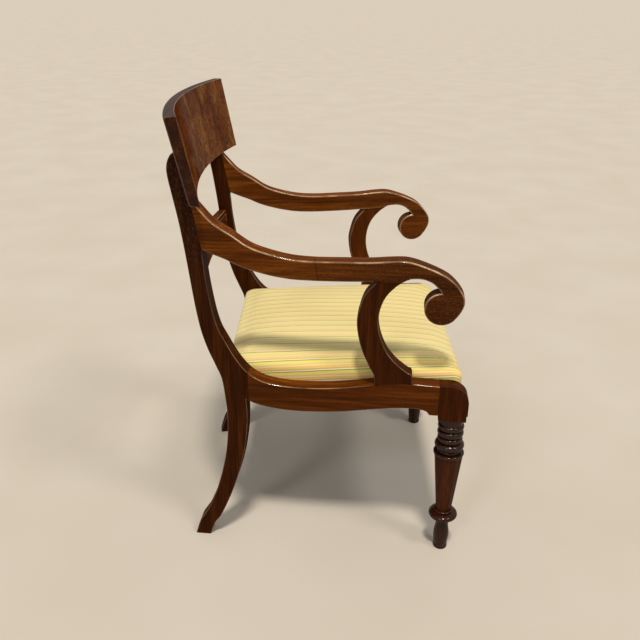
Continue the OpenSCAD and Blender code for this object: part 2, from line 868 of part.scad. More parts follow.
// The points of one rounded corner on the left, at an inset from the seat's edge
function seat_corner(back, from, to, inset) = let (
    r = max(seat_corner_r - inset, seat_corner_r / 4),
    mid_back = back + (to > 45 ? -inset - r : inset + r),
    x = half_inside(mid_back, leg_t + seat_gap + inset + r)
) [
    for (k = [0 : corner_steps]) let (a = from + (to - from) * k / corner_steps)
        [x + r * cos(a), front_y + mid_back + r * sin(a)],
];
function mirrored(list) = reversed([for (p = list) [-p.x, p.y]]);
// Extra points on the straight run between two points, without its ends
function between(a, b) = [for (k = [1 : edge_steps - 1]) a + (b - a) * k / edge_steps];
// The seat's outline, seen from above, at an inset from its edge
function seat_outline(inset) = let (
    front = seat_corner(seat_front_gap, -90, splay, inset),
    rear = seat_corner(seat_back, splay, 90, inset),
    left = concat(front, between(front[corner_steps], rear[0]), rear),
    right = mirrored(left),
    last = len(left) - 1
) concat(left, between(left[last], right[0]), right, between(right[last], left[0]));
// A crowned pad whose rings turn from the seat's outline into ovals towards the middle
module pad(inset, low, drop) {
    outline = seat_outline(inset);
    count = len(outline);
    middle = [0, front_y + seat_mid_back];
    half = [half_inside(seat_mid_back, leg_t + seat_gap + inset), (seat_back - seat_front_gap) / 2];
    rings = concat([[1, low], [1, roll_z - drop]],
        [for (s = seat_ring_shares) [s.x, roll_z - drop + s.y * seat_crown]]);
    points = concat(
        [for (ring = rings) for (p = outline) let (
            v = p - middle,
            a = atan2(v.y / half.y, v.x / half.x),
            turn = (1 - ring[0]) * seat_round_share,
            oval = [half.x * cos(a), half.y * sin(a)],
            q = middle + ring[0] * ((1 - turn) * v + turn * oval)
        ) [q.x, q.y, ring[1]]],
        [[middle.x, middle.y, low], [middle.x, middle.y, roll_z - drop + seat_crown]]);
    top = len(points) - 1;
    faces = concat(
        [for (r = [0 : len(rings) - 2]) for (k = [0 : count - 1])
            [r * count + k, (r + 1) * count + k, (r + 1) * count + (k + 1) % count]],
        [for (r = [0 : len(rings) - 2]) for (k = [0 : count - 1])
            [r * count + k, (r + 1) * count + (k + 1) % count, r * count + (k + 1) % count]],
        [for (k = [0 : count - 1]) [top - 1, k, (k + 1) % count]],
        [for (k = [0 : count - 1]) let (r = (len(rings) - 1) * count)
            [top, r + (k + 1) % count, r + k]]);
    polyhedron(points, faces);
}
module seat_prism(inset, low, height) {
    translate([0, 0, low])
        linear_extrude(height)
            polygon(seat_outline(inset));
}
frame_inset = cover_t + rest_gap;
side_frame_inset = leg_t + seat_gap + frame_inset;
seat_tenon_h = seat_rail_t / 3;
module seat_side_rail() {
    color(beech)
        difference() {
            intersection() {
                side_space()
                    translate([-overrun, frame_z, -side_frame_inset - seat_rail_w])
                        cube([along(chair_d), seat_rail_t, seat_rail_w]);
                seat_prism(frame_inset, frame_z, seat_rail_t);
            }
            seat_cross_tenons(fit_gap);
        }
}
module seat_cross_tenons(gap = 0) {
    for (mid = [seat_front_gap + frame_inset + seat_rail_w / 2,
            seat_back - frame_inset - seat_rail_w / 2])
        difference() {
            across(mid - seat_rail_w / 4 - gap, mid + seat_rail_w / 4 + gap,
                frame_z + seat_tenon_h - gap, frame_z + 2 * seat_tenon_h + gap);
            outside_sides(side_frame_inset + seat_rail_w - tenon_l - gap);
        }
}
module seat_cross_rail(back_from) {
    color(beech)
        union() {
            difference() {
                across(back_from, back_from + seat_rail_w, frame_z, frame_z + seat_rail_t);
                outside_sides(side_frame_inset + seat_rail_w);
            }
            intersection() {
                seat_cross_tenons();
                across(back_from, back_from + seat_rail_w, frame_z, frame_z + seat_rail_t);
            }
        }
}
module seat_rail_right() { on_side(true) seat_side_rail(); }
module seat_rail_left() { on_side(false) seat_side_rail(); }
module seat_rail_front() { seat_cross_rail(seat_front_gap + frame_inset); }
module seat_rail_back() { seat_cross_rail(seat_back - frame_inset - seat_rail_w); }

// Webbing on top of the frame, one layer each way
web_from = seat_front_gap + frame_inset + seat_rail_w / 4;
web_to = seat_back - frame_inset - seat_rail_w / 4;
web_half = half_inside(web_to, side_frame_inset + seat_rail_w / 4);
function web_step(span) = span / webbing_count;
function web_place(span, i) = (i + 0.5) * web_step(span) - span / 2;
web_across_span = 2 * half_inside(web_to, side_frame_inset + seat_rail_w);
web_along_span = web_to - web_from - seat_rail_w;
module webbing_long() {
    color(jute)
        for (i = [0 : webbing_count - 1])
            translate([web_place(web_across_span, i) - webbing_w / 2, front_y + web_from, webbing_z])
                cube([webbing_w, web_to - web_from, webbing_t]);
}
module webbing_cross() {
    color(jute)
        for (i = [0 : webbing_count - 1])
            translate([-web_half, front_y + (web_from + web_to) / 2
                    + web_place(web_along_span, i) - webbing_w / 2, webbing_z + webbing_t])
                cube([2 * web_half, webbing_w, webbing_t]);
}
module tack() {
    color(steel) {
        cylinder(h = tack_head_h, r = tack_head_r, $fn = round_fn / 2);
        translate([0, 0, -tack_l])
            cylinder(h = tack_l + tack_head_h / 2, r = tack_shank_r, $fn = round_fn / 2);
    }
}
module webbing_tacks() {
    for (i = [0 : webbing_count - 1]) for (side = [-1, 1]) for (end = [0, 1]) {
        translate([web_place(web_across_span, i) + side * webbing_w / 4,
                front_y + web_from + webbing_w / 4 + end * (web_to - web_from - webbing_w / 2),
                webbing_z + webbing_t])
            tack();
        translate([(2 * end - 1) * (web_half - webbing_w / 4), front_y + (web_from + web_to) / 2
                + web_place(web_along_span, i) + side * webbing_w / 4,
                webbing_z + 2 * webbing_t])
            tack();
    }
}
module hessian() {
    color(jute) seat_prism(frame_inset + rest_gap, hessian_z, hessian_t);
}
module seat_stuffing() {
    color(beech)
        intersection() {
            pad(frame_inset, frame_z, cover_t + rest_gap);
            seat_prism(0, stuffing_z, reach);
        }
}
module seat_cover() {
    color(striped_cloth)
        difference() {
            pad(0, cover_z, 0);
            pad(cover_t, frame_z, cover_t);
            seat_prism(cover_turn, cover_z - overrun, cover_t + 2 * overrun);
        }
}
module dust_cloth() {
    color(black_cloth) seat_prism(2 * cover_t, dust_cloth_z, dust_cloth_t);
}
// Tacks under the frame, evenly spaced along its four sides
module cover_tacks() {
    outline = seat_outline(tack_inset);
    corners = [
        outline[corner_steps], outline[corner_steps + edge_steps],
        [-outline[corner_steps + edge_steps].x, outline[corner_steps + edge_steps].y],
        [-outline[corner_steps].x, outline[corner_steps].y],
    ];
    for (i = [0 : 3]) {
        run = corners[(i + 1) % 4] - corners[i];
        count = ceil(norm(run) / tack_pitch);
        for (k = [0 : count - 1])
            translate(concat(corners[i] + run * k / count, [dust_cloth_z]))
                mirror([0, 0, 1])
                    tack();
    }
}

rear_leg_right();
rear_leg_left();
side_rail_right();
side_rail_left();
front_leg_right();
front_leg_left();
front_rail();
back_rail();
crest_rail();
crest_veneer();
cross_rail();
arm_right();
arm_left();
arm_support_right();
arm_support_left();
corner_blocks();
corner_block_screws();
support_dowels();
support_screws();
arm_screws();
crest_screws();
screw_plugs();
seat_rail_front();
seat_rail_back();
seat_rail_right();
seat_rail_left();
webbing_long();
webbing_cross();
webbing_tacks();
hessian();
seat_stuffing();
seat_cover();
dust_cloth();
cover_tacks();
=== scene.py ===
"""Looks of an open armchair in polished mahogany with an upholstered drop-in seat.

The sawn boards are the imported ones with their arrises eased. The front legs are turned and
planed anew, and the seat is built up as an upholsterer does it: webbing, hessian, stuffing,
striped cover and dust cloth. All lengths are in metres.
"""
import math

import bmesh
import bpy
from mathutils import Matrix, Vector
from mathutils.bvhtree import BVHTree


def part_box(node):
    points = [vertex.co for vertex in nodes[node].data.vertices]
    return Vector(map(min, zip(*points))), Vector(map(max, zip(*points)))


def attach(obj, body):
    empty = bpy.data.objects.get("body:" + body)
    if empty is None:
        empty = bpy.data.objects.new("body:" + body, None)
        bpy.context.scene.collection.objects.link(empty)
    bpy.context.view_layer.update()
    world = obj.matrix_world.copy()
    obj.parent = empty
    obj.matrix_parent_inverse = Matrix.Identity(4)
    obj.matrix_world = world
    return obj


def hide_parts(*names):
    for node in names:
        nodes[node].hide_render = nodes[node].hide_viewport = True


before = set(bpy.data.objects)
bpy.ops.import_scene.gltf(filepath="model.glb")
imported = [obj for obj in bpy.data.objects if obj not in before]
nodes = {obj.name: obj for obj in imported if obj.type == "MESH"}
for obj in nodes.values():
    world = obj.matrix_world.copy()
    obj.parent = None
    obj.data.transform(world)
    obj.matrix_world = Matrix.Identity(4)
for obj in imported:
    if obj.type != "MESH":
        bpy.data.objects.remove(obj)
bpy.context.view_layer.update()

MM = 0.001
# near enough to be the same place
NEAR = 0.1 * MM
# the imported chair: its width over the front, the turn of its sides and the place of its front
FRONT_W = 554 * MM
SPLAY = math.radians(6.1057)
FRONT_Y = -286.945 * MM


# Helpers for working on one object at a time

def deselect():
    if bpy.context.object and bpy.context.object.mode != "OBJECT":
        bpy.ops.object.mode_set(mode="OBJECT")
    bpy.ops.object.select_all(action="DESELECT")


def pick(obj):
    deselect()
    obj.select_set(True)
    bpy.context.view_layer.objects.active = obj


def edit(obj):
    pick(obj)
    bpy.ops.object.mode_set(mode="EDIT")
    bpy.ops.mesh.select_mode(type="VERT")


def leave():
    bpy.ops.object.mode_set(mode="OBJECT")


def apply_modifiers(obj):
    pick(obj)
    for modifier in list(obj.modifiers):
        bpy.ops.object.modifier_apply(modifier=modifier.name)


def apply_place(obj):
    pick(obj)
    bpy.ops.object.transform_apply(location=True, rotation=True, scale=True)


def join(first, *others):
    deselect()
    for obj in (first, *others):
        obj.select_set(True)
    bpy.context.view_layer.objects.active = first
    bpy.ops.object.join()
    return first


def select_in(obj, kind, test):
    """In edit mode, selects the vertices, edges or faces that pass the test, and nothing else."""
    bpy.ops.mesh.select_mode(type={"verts": "VERT", "edges": "EDGE", "faces": "FACE"}[kind])
    bpy.ops.mesh.select_all(action="DESELECT")
    bm = bmesh.from_edit_mesh(obj.data)
    bm.normal_update()
    found = 0
    for item in getattr(bm, kind):
        if test(item):
            item.select_set(True)
            found += 1
    bm.select_flush_mode()
    bmesh.update_edit_mesh(obj.data)
    return found


def select_all():
    bpy.ops.mesh.select_all(action="SELECT")


def extrude(**move):
    bpy.ops.mesh.extrude_region_move(TRANSFORM_OT_translate=move)


def finish_normals():
    select_all()
    bpy.ops.mesh.normals_make_consistent(inside=False)


def smooth(obj, degrees):
    pick(obj)
    bpy.ops.object.shade_smooth_by_angle(angle=math.radians(degrees))


def finish_with(obj, kind, **settings):
    """Adds a modifier with its settings and applies it."""
    modifier = obj.modifiers.new(kind.lower(), kind)
    for name, value in settings.items():
        setattr(modifier, name, value)
    apply_modifiers(obj)


def finish_smooth(obj, degrees=30):
    """Smooth curves between flat faces that stay flat."""
    smooth(obj, degrees)
    finish_with(obj, "WEIGHTED_NORMAL", keep_sharp=True, weight=60)


def subdivide_once(obj):
    finish_with(obj, "SUBSURF", levels=1, render_levels=1)


def thicken(obj, thickness):
    """Gives a sheet its thickness, inwards from the face that shows."""
    finish_with(obj, "SOLIDIFY", thickness=thickness, offset=-1)


def face_up(obj):
    """Turns all faces of a level sheet upwards."""
    edit(obj)
    finish_normals()
    bm = bmesh.from_edit_mesh(obj.data)
    bm.normal_update()
    if sum(face.normal.z for face in bm.faces) < 0:
        bpy.ops.mesh.flip_normals()
    leave()


def mark_inside(obj, kind, amount, chosen=lambda face: face.select):
    """In edit mode, marks the vertices whose faces are all chosen, as an arris ("arris"), which
    the materials paint paler for wear and as a painted highlight, or as built-up polish
    ("gloss"), for the materials to read."""
    bm = bmesh.from_edit_mesh(obj.data)
    layer = bm.verts.layers.float.get(kind) or bm.verts.layers.float.new(kind)
    for vert in bm.verts:
        if all(chosen(face) for face in vert.link_faces):
            vert[layer] = amount
    bmesh.update_edit_mesh(obj.data)


def dress(obj, material, body, slot, *replaced):
    """Finishes a piece in one material, on its body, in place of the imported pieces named."""
    obj.data.materials.clear()
    obj.data.materials.append(material)
    return settle(obj, body, slot, *replaced)


def settle(obj, body, slot, *replaced):
    if replaced:
        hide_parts(*replaced)
    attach(obj, body)
    return obj


# Materials

def linear(code):
    parts = [int(code[i:i + 2], 16) / 255 for i in (1, 3, 5)]
    return [c / 12.92 if c <= 0.04045 else ((c + 0.055) / 1.055) ** 2.4 for c in parts] + [1]


def add(tree, kind, inputs=None, stops=None, **settings):
    """Adds a node. inputs gives each socket a value or another node's output."""
    made = tree.nodes.new(kind)
    for name, value in settings.items():
        setattr(made, name, value)
    if stops:
        ramp = made.color_ramp.elements
        while len(ramp) < len(stops):
            ramp.new(0.5)
        for element, (place, value) in zip(ramp, stops):
            element.position = place
            element.color = linear(value) if isinstance(value, str) else [value] * 3 + [1]
    for key, value in (inputs or {}).items():
        socket = made.inputs[key]
        if isinstance(value, bpy.types.NodeSocket):
            tree.links.new(value, socket)
        else:
            socket.default_value = value
    return made


def new_material(name):
    material = bpy.data.materials.new(name)
    material.use_nodes = True
    material.node_tree.nodes.clear()
    return material, material.node_tree


def finish_material(material, settings):
    """Joins the surface's shader to the material's output."""
    shader = add(material.node_tree, "ShaderNodeBsdfPrincipled", settings)
    add(material.node_tree, "ShaderNodeOutputMaterial", {"Surface": shader.outputs[0]})
    return material


GLUE_LINE = "#160a05"
DARK_END = "#220d05"
WAX = "#9a7a60"
OLD_POLISH = "#190904"
# patches of worn polish to the metre
WORN_PATCHES = 26.0
# turns a noise into an angle, so that about five fibre lines follow its hills and hollows
CURL_LINES = 34.0


def polished_wood(name, along, shades, shift=0.0, turn=0.0, polish=0.08, painted_top_light=0.8,
                  burr=False, seam=None, fade=None):
    """Mahogany, sawn, scraped and French polished. Straight grain, a ribbon of lighter and
    darker bands, short dark pores and a thin clear gloss, brightest on the arrises that hands
    have polished. The upper faces are painted paler as painted light, and the arrises paler for
    wear and as a painted highlight."""
    material, tree = new_material(name)
    place = add(tree, "ShaderNodeTexCoord").outputs["Object"]
    angles = {"x": (0, 0, 0), "y": (0, 0, math.pi / 2 + turn), "z": (0, math.pi / 2, 0)}[along]
    dark, middle, light, pore, rubbed_and_lit = shades

    def grain(length, width, detail, distortion=0.0):
        """Noise drawn out along the grain, its length and width in millimetres."""
        mapped = add(tree, "ShaderNodeMapping", {
            "Vector": place, "Location": (shift, shift * 0.7, shift * 1.3),
            "Rotation": angles, "Scale": (length * MM, width * MM, width * MM)},
            vector_type="TEXTURE").outputs[0]
        return add(tree, "ShaderNodeTexNoise", {
            "Vector": mapped, "Scale": 1.0, "Detail": detail,
            "Distortion": distortion}).outputs[0]

    # the figure is bands, streaks and threads, or clouds and eyes, each with its share
    streaks = grain(95, 2.8, 3, 0.25)
    figure = ((grain(260, 17, 2, 0.5), 0.42), (streaks, 0.38), (grain(45, 1.1, 2), 0.20))
    if burr:
        figure = ((grain(80, 55, 2, 0.8), 0.60), (grain(16, 10, 3, 1.5), 0.40))
    tone = 0.0
    for layer, share in reversed(figure):
        tone = add(tree, "ShaderNodeMath", {0: layer, 1: share, 2: tone},
                   operation="MULTIPLY_ADD").outputs[0]
    colour = add(tree, "ShaderNodeValToRGB", {"Fac": tone}, stops=[
        (0.34, dark), (0.50, middle), (0.67, light)]).outputs[0]
    # pores are 0.3 mm wide in the real wood and are drawn three times as wide
    pores = add(tree, "ShaderNodeMapRange", {
        "Value": grain(12, 1.0, 1), "From Min": 0.60, "From Max": 0.72,
        "To Max": 0.2 if burr else 0.55}).outputs[0]
    stains = [(pores, pore)]
    if burr:
        # the fibres curl round small eyes, in patches, and the late wood is darker
        curl = add(tree, "ShaderNodeMath", {0: grain(27, 21, 2, 1.8), 1: CURL_LINES},
                   operation="MULTIPLY").outputs[0]
        curl = add(tree, "ShaderNodeMath", {0: curl}, operation="SINE").outputs[0]
        curl = add(tree, "ShaderNodeMapRange", {
            "Value": curl, "From Min": 0.35, "From Max": 0.95, "To Max": 0.80}).outputs[0]
        wild = add(tree, "ShaderNodeMapRange", {
            "Value": grain(38, 26, 2), "From Min": 0.40, "From Max": 0.56,
            "To Min": 0.22}).outputs[0]
        curl = add(tree, "ShaderNodeMath", {0: curl, 1: wild}, operation="MULTIPLY").outputs[0]
        stains.append((curl, pore))
    if seam:
        # a glued scarf joint: a dark hairline across the board, its edges a little soft
        point, direction = seam
        away = add(tree, "ShaderNodeVectorMath", {0: place, 1: point},
                   operation="SUBTRACT").outputs[0]
        away = add(tree, "ShaderNodeVectorMath", {0: away, 1: direction},
                   operation="DOT_PRODUCT").outputs["Value"]
        away = add(tree, "ShaderNodeMath", {0: away}, operation="ABSOLUTE").outputs[0]
        line = add(tree, "ShaderNodeMapRange", {
            "Value": away, "From Min": 0.4 * MM, "From Max": 1.1 * MM, "To Min": 0.75,
            "To Max": 0.0}).outputs[0]
        stains.append((line, GLUE_LINE))
    if fade:
        # the board is darker towards one end, and there pale wax fills the pores
        axis, start, end, share = fade
        deep = add(tree, "ShaderNodeSeparateXYZ", {0: place}).outputs[axis]
        deep = add(tree, "ShaderNodeMapRange", {
            "Value": deep, "From Min": start, "From Max": end, "To Max": share}).outputs[0]
        wax = add(tree, "ShaderNodeMapRange", {
            "Value": grain(6, 1.3, 1), "From Min": 0.58, "From Max": 0.70,
            "To Max": 0.42}).outputs[0]
        wax = add(tree, "ShaderNodeMath", {0: wax, 1: deep}, operation="MULTIPLY").outputs[0]
        stains += [(deep, DARK_END), (wax, WAX)]
    for share, shade in stains:
        colour = add(tree, "ShaderNodeMix", {0: share, 6: colour, 7: linear(shade)},
                     data_type="RGBA").outputs[2]
    level = add(tree, "ShaderNodeTexCoord").outputs["Normal"]
    level = add(tree, "ShaderNodeSeparateXYZ", {0: level}).outputs[2]
    if painted_top_light:
        # painted light: the upper faces are painted paler, a golden brown, as if lit from above
        painted_light_share = add(tree, "ShaderNodeMapRange", {
            "Value": level, "From Min": 0.30, "From Max": 0.95, "To Max": painted_top_light}).outputs[0]
        pale = add(tree, "ShaderNodeVectorMath", {0: colour, 1: (1.7, 1.75, 1.5)},
                   operation="MULTIPLY").outputs[0]
        colour = add(tree, "ShaderNodeMix", {0: painted_light_share, 6: colour, 7: pale},
                     data_type="RGBA").outputs[2]
    # the arrises are painted paler, in patches and most of all on top: partly wear from hands and
    # cloths, partly a painted highlight
    patch = add(tree, "ShaderNodeTexNoise", {
        "Vector": place, "Scale": WORN_PATCHES, "Detail": 3.0}).outputs[0]
    arris = add(tree, "ShaderNodeAttribute", attribute_name="arris").outputs["Fac"]
    in_patch = add(tree, "ShaderNodeMapRange", {
        "Value": patch, "From Min": 0.38, "From Max": 0.62, "To Min": 0.20}).outputs[0]
    above = add(tree, "ShaderNodeMapRange", {
        "Value": level, "From Min": 0.10, "From Max": 0.60, "To Min": 0.35}).outputs[0]
    wear_and_highlight = arris
    for share in (in_patch, above):
        wear_and_highlight = add(tree, "ShaderNodeMath", {0: wear_and_highlight, 1: share}, operation="MULTIPLY").outputs[0]
    # old polish has built up dark and bright on the turnings
    turned = add(tree, "ShaderNodeAttribute", attribute_name="gloss").outputs["Fac"]
    for share, shade in ((wear_and_highlight, rubbed_and_lit), (turned, OLD_POLISH)):
        colour = add(tree, "ShaderNodeMix", {0: share, 6: colour, 7: linear(shade)},
                     data_type="RGBA").outputs[2]
    turned = add(tree, "ShaderNodeMath", {0: turned, 1: 0.95}, operation="MULTIPLY").outputs[0]
    gloss = polish
    for share in (arris, turned):
        gloss = add(tree, "ShaderNodeMath", {0: gloss, 1: share},
                    operation="MAXIMUM").outputs[0]
    rough = add(tree, "ShaderNodeMapRange", {
        "Value": patch, "To Min": 0.34, "To Max": 0.50}).outputs[0]
    bump = add(tree, "ShaderNodeBump", {
        "Strength": 0.10, "Distance": 0.2 * MM, "Height": streaks})
    return finish_material(material, {
        "Base Color": colour, "Roughness": rough, "IOR": 1.5, "Specular IOR Level": 0.0,
        "Coat Weight": gloss, "Coat Roughness": 0.11, "Coat IOR": 1.5,
        "Normal": bump.outputs[0]})


# shades: dark, middle and light wood, pores, and the paler arris, partly wear and partly painted
# highlight
BROWN = ("#341703", "#4f2507", "#6b380f", "#241003", "#b08450")
LEG = ("#230d02", "#371804", "#502809", "#190902", "#9a6c3e")
ARM = ("#3c1d04", "#5c2d08", "#824a15", "#281104", "#d8b488")
DARK = ("#270f04", "#3d1a06", "#55290c", "#170803", "#9a7450")
CREST = ("#1c0a04", "#32160a", "#532a12", "#150904", "#8f6440")
FIGURED = ("#4a1f0b", "#6e3a18", "#8f5f2a", "#200d05", "#a07858")


def plain_wood(name, along, shades):
    """Beech, planed and left bare inside the seat: pale, matt, with short brown flecks."""
    material, tree = new_material(name)
    place = add(tree, "ShaderNodeTexCoord").outputs["Object"]
    drawn = []
    # streaks 120 mm long and 4 mm wide, and flecks 7 mm long and 1.2 mm wide
    for length, width, detail in ((120, 4, 4.0), (7, 1.2, 2.0)):
        size = {"x": (length, width, width), "y": (width, length, width)}[along]
        mapped = add(tree, "ShaderNodeMapping", {
            "Vector": place, "Scale": [s * MM for s in size]}, vector_type="TEXTURE").outputs[0]
        drawn.append(add(tree, "ShaderNodeTexNoise", {
            "Vector": mapped, "Scale": 1.0, "Detail": detail}).outputs[0])
    streaks, flecks = drawn
    colour = add(tree, "ShaderNodeValToRGB", {"Fac": streaks}, stops=[
        (0.35, shades[0]), (0.65, shades[1])]).outputs[0]
    mask = add(tree, "ShaderNodeMapRange", {
        "Value": flecks, "From Min": 0.62, "From Max": 0.70, "To Max": 0.5}).outputs[0]
    colour = add(tree, "ShaderNodeMix", {0: mask, 6: colour, 7: linear(shades[2])},
                 data_type="RGBA").outputs[2]
    bump = add(tree, "ShaderNodeBump", {
        "Strength": 0.2, "Distance": 0.2 * MM, "Height": streaks})
    return finish_material(material, {
        "Base Color": colour, "Roughness": 0.7, "Normal": bump.outputs[0]})


def weave(tree, place, spacing, distortion):
    """The height of threads that cross, from 0 to 1, their spacing in metres."""
    mapped = add(tree, "ShaderNodeMapping", {
        "Vector": place, "Scale": (spacing, spacing, 1)}, vector_type="TEXTURE").outputs[0]
    # a wave of scale 0.32 repeats once in each unit of its place
    warp, weft = [add(tree, "ShaderNodeTexWave", {
        "Vector": mapped, "Scale": 0.32, "Distortion": distortion},
        bands_direction=direction).outputs["Fac"] for direction in "XY"]
    return add(tree, "ShaderNodeMath", {0: warp, 1: weft}, operation="MULTIPLY").outputs[0]


# the stripes' repeat, and where in a repeat the cover's middle lies
STRIPE = 24.5 * MM
STRIPE_START = 0.90
STRIPE_WANDER = 1.2 * MM
TICK_EVERY = 3 * MM
# how far from the middle line the top of the seat is painted fully paler as painted light, and
# from where it is not painted paler at all
PAINTED_SHEEN_TO, NO_PAINTED_SHEEN_FROM = 168 * MM, 208 * MM
RIBS = 1.2 * MM


def striped_cotton(name):
    """Cotton rep, woven in stripes that run front to back and repeat every 24.5 mm. A broad
    yellow and peach band with tiny cross ticks, then a green-yellow line, a thin dark one, a
    pale one and a brown one. The weave makes fine ribs, and the cloth is matt."""
    material, tree = new_material(name)
    cloth = add(tree, "ShaderNodeAttribute", attribute_name="cloth").outputs["Vector"]
    across, down = add(tree, "ShaderNodeSeparateXYZ", {0: cloth}).outputs[:2]
    wander = add(tree, "ShaderNodeTexNoise", {
        "Vector": cloth, "Scale": 9.0, "Detail": 1.0}).outputs[0]
    wander = add(tree, "ShaderNodeMapRange", {
        "Value": wander, "To Min": -STRIPE_WANDER, "To Max": STRIPE_WANDER}).outputs[0]
    stripes = add(tree, "ShaderNodeMath", {0: across, 1: wander}, operation="ADD").outputs[0]
    stripes = add(tree, "ShaderNodeMath", {0: stripes, 1: 1 / STRIPE, 2: STRIPE_START},
                  operation="MULTIPLY_ADD").outputs[0]
    share = add(tree, "ShaderNodeMath", {0: stripes}, operation="FRACT").outputs[0]
    colour = add(tree, "ShaderNodeValToRGB", {"Fac": share}, stops=[
        (0.00, "#b89a62"), (0.04, "#e6c07c"), (0.10, "#fccc86"), (0.24, "#ffda94"),
        (0.34, "#ffedaa"), (0.46, "#ffd894"), (0.58, "#fbeb94"), (0.68, "#f3ea74"),
        (0.77, "#ebe45e"), (0.80, "#ebe45e"), (0.84, "#fff8cc"), (0.90, "#fffadc"),
        (0.95, "#e6d290"), (1.00, "#b89a62")]).outputs[0]
    # the ticks across the band are drawn twice the real thread's width
    tick = add(tree, "ShaderNodeMath", {0: down, 1: TICK_EVERY}, operation="DIVIDE").outputs[0]
    tick = add(tree, "ShaderNodeMath", {0: tick}, operation="FRACT").outputs[0]
    tick = add(tree, "ShaderNodeMath", {0: tick, 1: 0.35}, operation="LESS_THAN").outputs[0]
    in_band = add(tree, "ShaderNodeValToRGB", {"Fac": share}, stops=[
        (0.13, 0.0), (0.16, 1.0), (0.24, 1.0), (0.27, 0.0), (0.36, 0.0), (0.39, 1.0),
        (0.47, 1.0), (0.50, 0.0)]).outputs[0]
    for part in (in_band, 0.8):
        tick = add(tree, "ShaderNodeMath", {0: tick, 1: part}, operation="MULTIPLY").outputs[0]
    # some repeats are yellower and others more peach, as the dye lots fell
    tone = add(tree, "ShaderNodeMath", {0: stripes}, operation="FLOOR").outputs[0]
    tone = add(tree, "ShaderNodeTexWhiteNoise", {"W": tone}, noise_dimensions="1D")
    tone = add(tree, "ShaderNodeMapRange", {
        "Value": tone.outputs["Value"], "To Max": 0.35}).outputs[0]
    # painted light: the top of the seat is painted paler and washed out, as if brightly lit, and
    # its sides hardly at all
    side = add(tree, "ShaderNodeMath", {0: across}, operation="ABSOLUTE").outputs[0]
    painted_top_sheen = add(tree, "ShaderNodeMapRange", {
        "Value": side, "From Min": NO_PAINTED_SHEEN_FROM, "From Max": PAINTED_SHEEN_TO, "To Max": 0.60}).outputs[0]
    for part, shade in ((tick, "#d08c44"), (tone, "#f6e27e"), (painted_top_sheen, "#fff0b0")):
        colour = add(tree, "ShaderNodeMix", {0: part, 6: colour, 7: linear(shade)},
                     data_type="RGBA").outputs[2]
    # one dark green thread line in each repeat
    line = add(tree, "ShaderNodeValToRGB", {"Fac": share}, stops=[
        (0.765, 0.0), (0.785, 0.85), (0.825, 0.85), (0.845, 0.0)]).outputs[0]
    # painted light: the thread line is painted paler on the top of the seat too
    thread = add(tree, "ShaderNodeMix", {
        0: painted_top_sheen, 6: linear("#5c6230"), 7: linear("#a08850")}, data_type="RGBA").outputs[2]
    colour = add(tree, "ShaderNodeMix", {0: line, 6: colour, 7: thread},
                 data_type="RGBA").outputs[2]
    # the ribs of the weave are drawn at about twice the real thread spacing
    ribs = weave(tree, cloth, RIBS, 0.4)
    # painted shade: the hollows of the weave are painted darker and its ribs lighter
    weave_shade = add(tree, "ShaderNodeMapRange", {
        "Value": ribs, "To Min": 0.93, "To Max": 1.08}).outputs[0]
    colour = add(tree, "ShaderNodeVectorMath", {0: colour, "Scale": weave_shade},
                 operation="SCALE").outputs[0]
    bump = add(tree, "ShaderNodeBump", {"Strength": 0.4, "Distance": 0.3 * MM, "Height": ribs})
    return finish_material(material, {
        "Base Color": colour, "Roughness": 0.85, "Specular IOR Level": 0.2,
        "Sheen Weight": 0.35, "Sheen Roughness": 0.35, "Normal": bump.outputs[0]})


def woven(name, low, high, spacing, depth):
    """Plain woven cloth such as hessian, webbing or a black dust cloth: threads cross evenly,
    a little unevenly dyed and dusty, quite matt. Its spacing and depth are in metres."""
    material, tree = new_material(name)
    place = add(tree, "ShaderNodeTexCoord").outputs["Object"]
    threads = weave(tree, place, spacing, 0.6)
    stain = add(tree, "ShaderNodeTexNoise", {
        "Vector": place, "Scale": 14.0, "Detail": 4.0}).outputs[0]
    # painted shade: the gaps between the threads are painted darker and their crossings lighter
    tone = add(tree, "ShaderNodeMath", {0: threads, 1: 0.5, 2: stain},
               operation="MULTIPLY_ADD").outputs[0]
    colour = add(tree, "ShaderNodeValToRGB", {"Fac": tone}, stops=[
        (0.3, low), (1.0, high)]).outputs[0]
    bump = add(tree, "ShaderNodeBump", {"Strength": 0.5, "Distance": depth, "Height": threads})
    return finish_material(material, {
        "Base Color": colour, "Roughness": 0.9, "Specular IOR Level": 0.2,
        "Normal": bump.outputs[0]})


def curled_hair(name):
    """Curled horsehair stuffing: a dense mat of dark brown and grey hairs, dull and springy."""
    material, tree = new_material(name)
    place = add(tree, "ShaderNodeTexCoord").outputs["Object"]
    # curls about 5 mm across
    curls = add(tree, "ShaderNodeTexNoise", {
        "Vector": place, "Scale": 180.0, "Detail": 5.0, "Distortion": 3.0}).outputs[0]
    colour = add(tree, "ShaderNodeValToRGB", {"Fac": curls}, stops=[
        (0.36, "#2b211b"), (0.52, "#5b4636"), (0.66, "#8a7a68")]).outputs[0]
    bump = add(tree, "ShaderNodeBump", {"Strength": 0.8, "Distance": 1.0 * MM, "Height": curls})
    return finish_material(material, {
        "Base Color": colour, "Roughness": 0.8, "Normal": bump.outputs[0]})


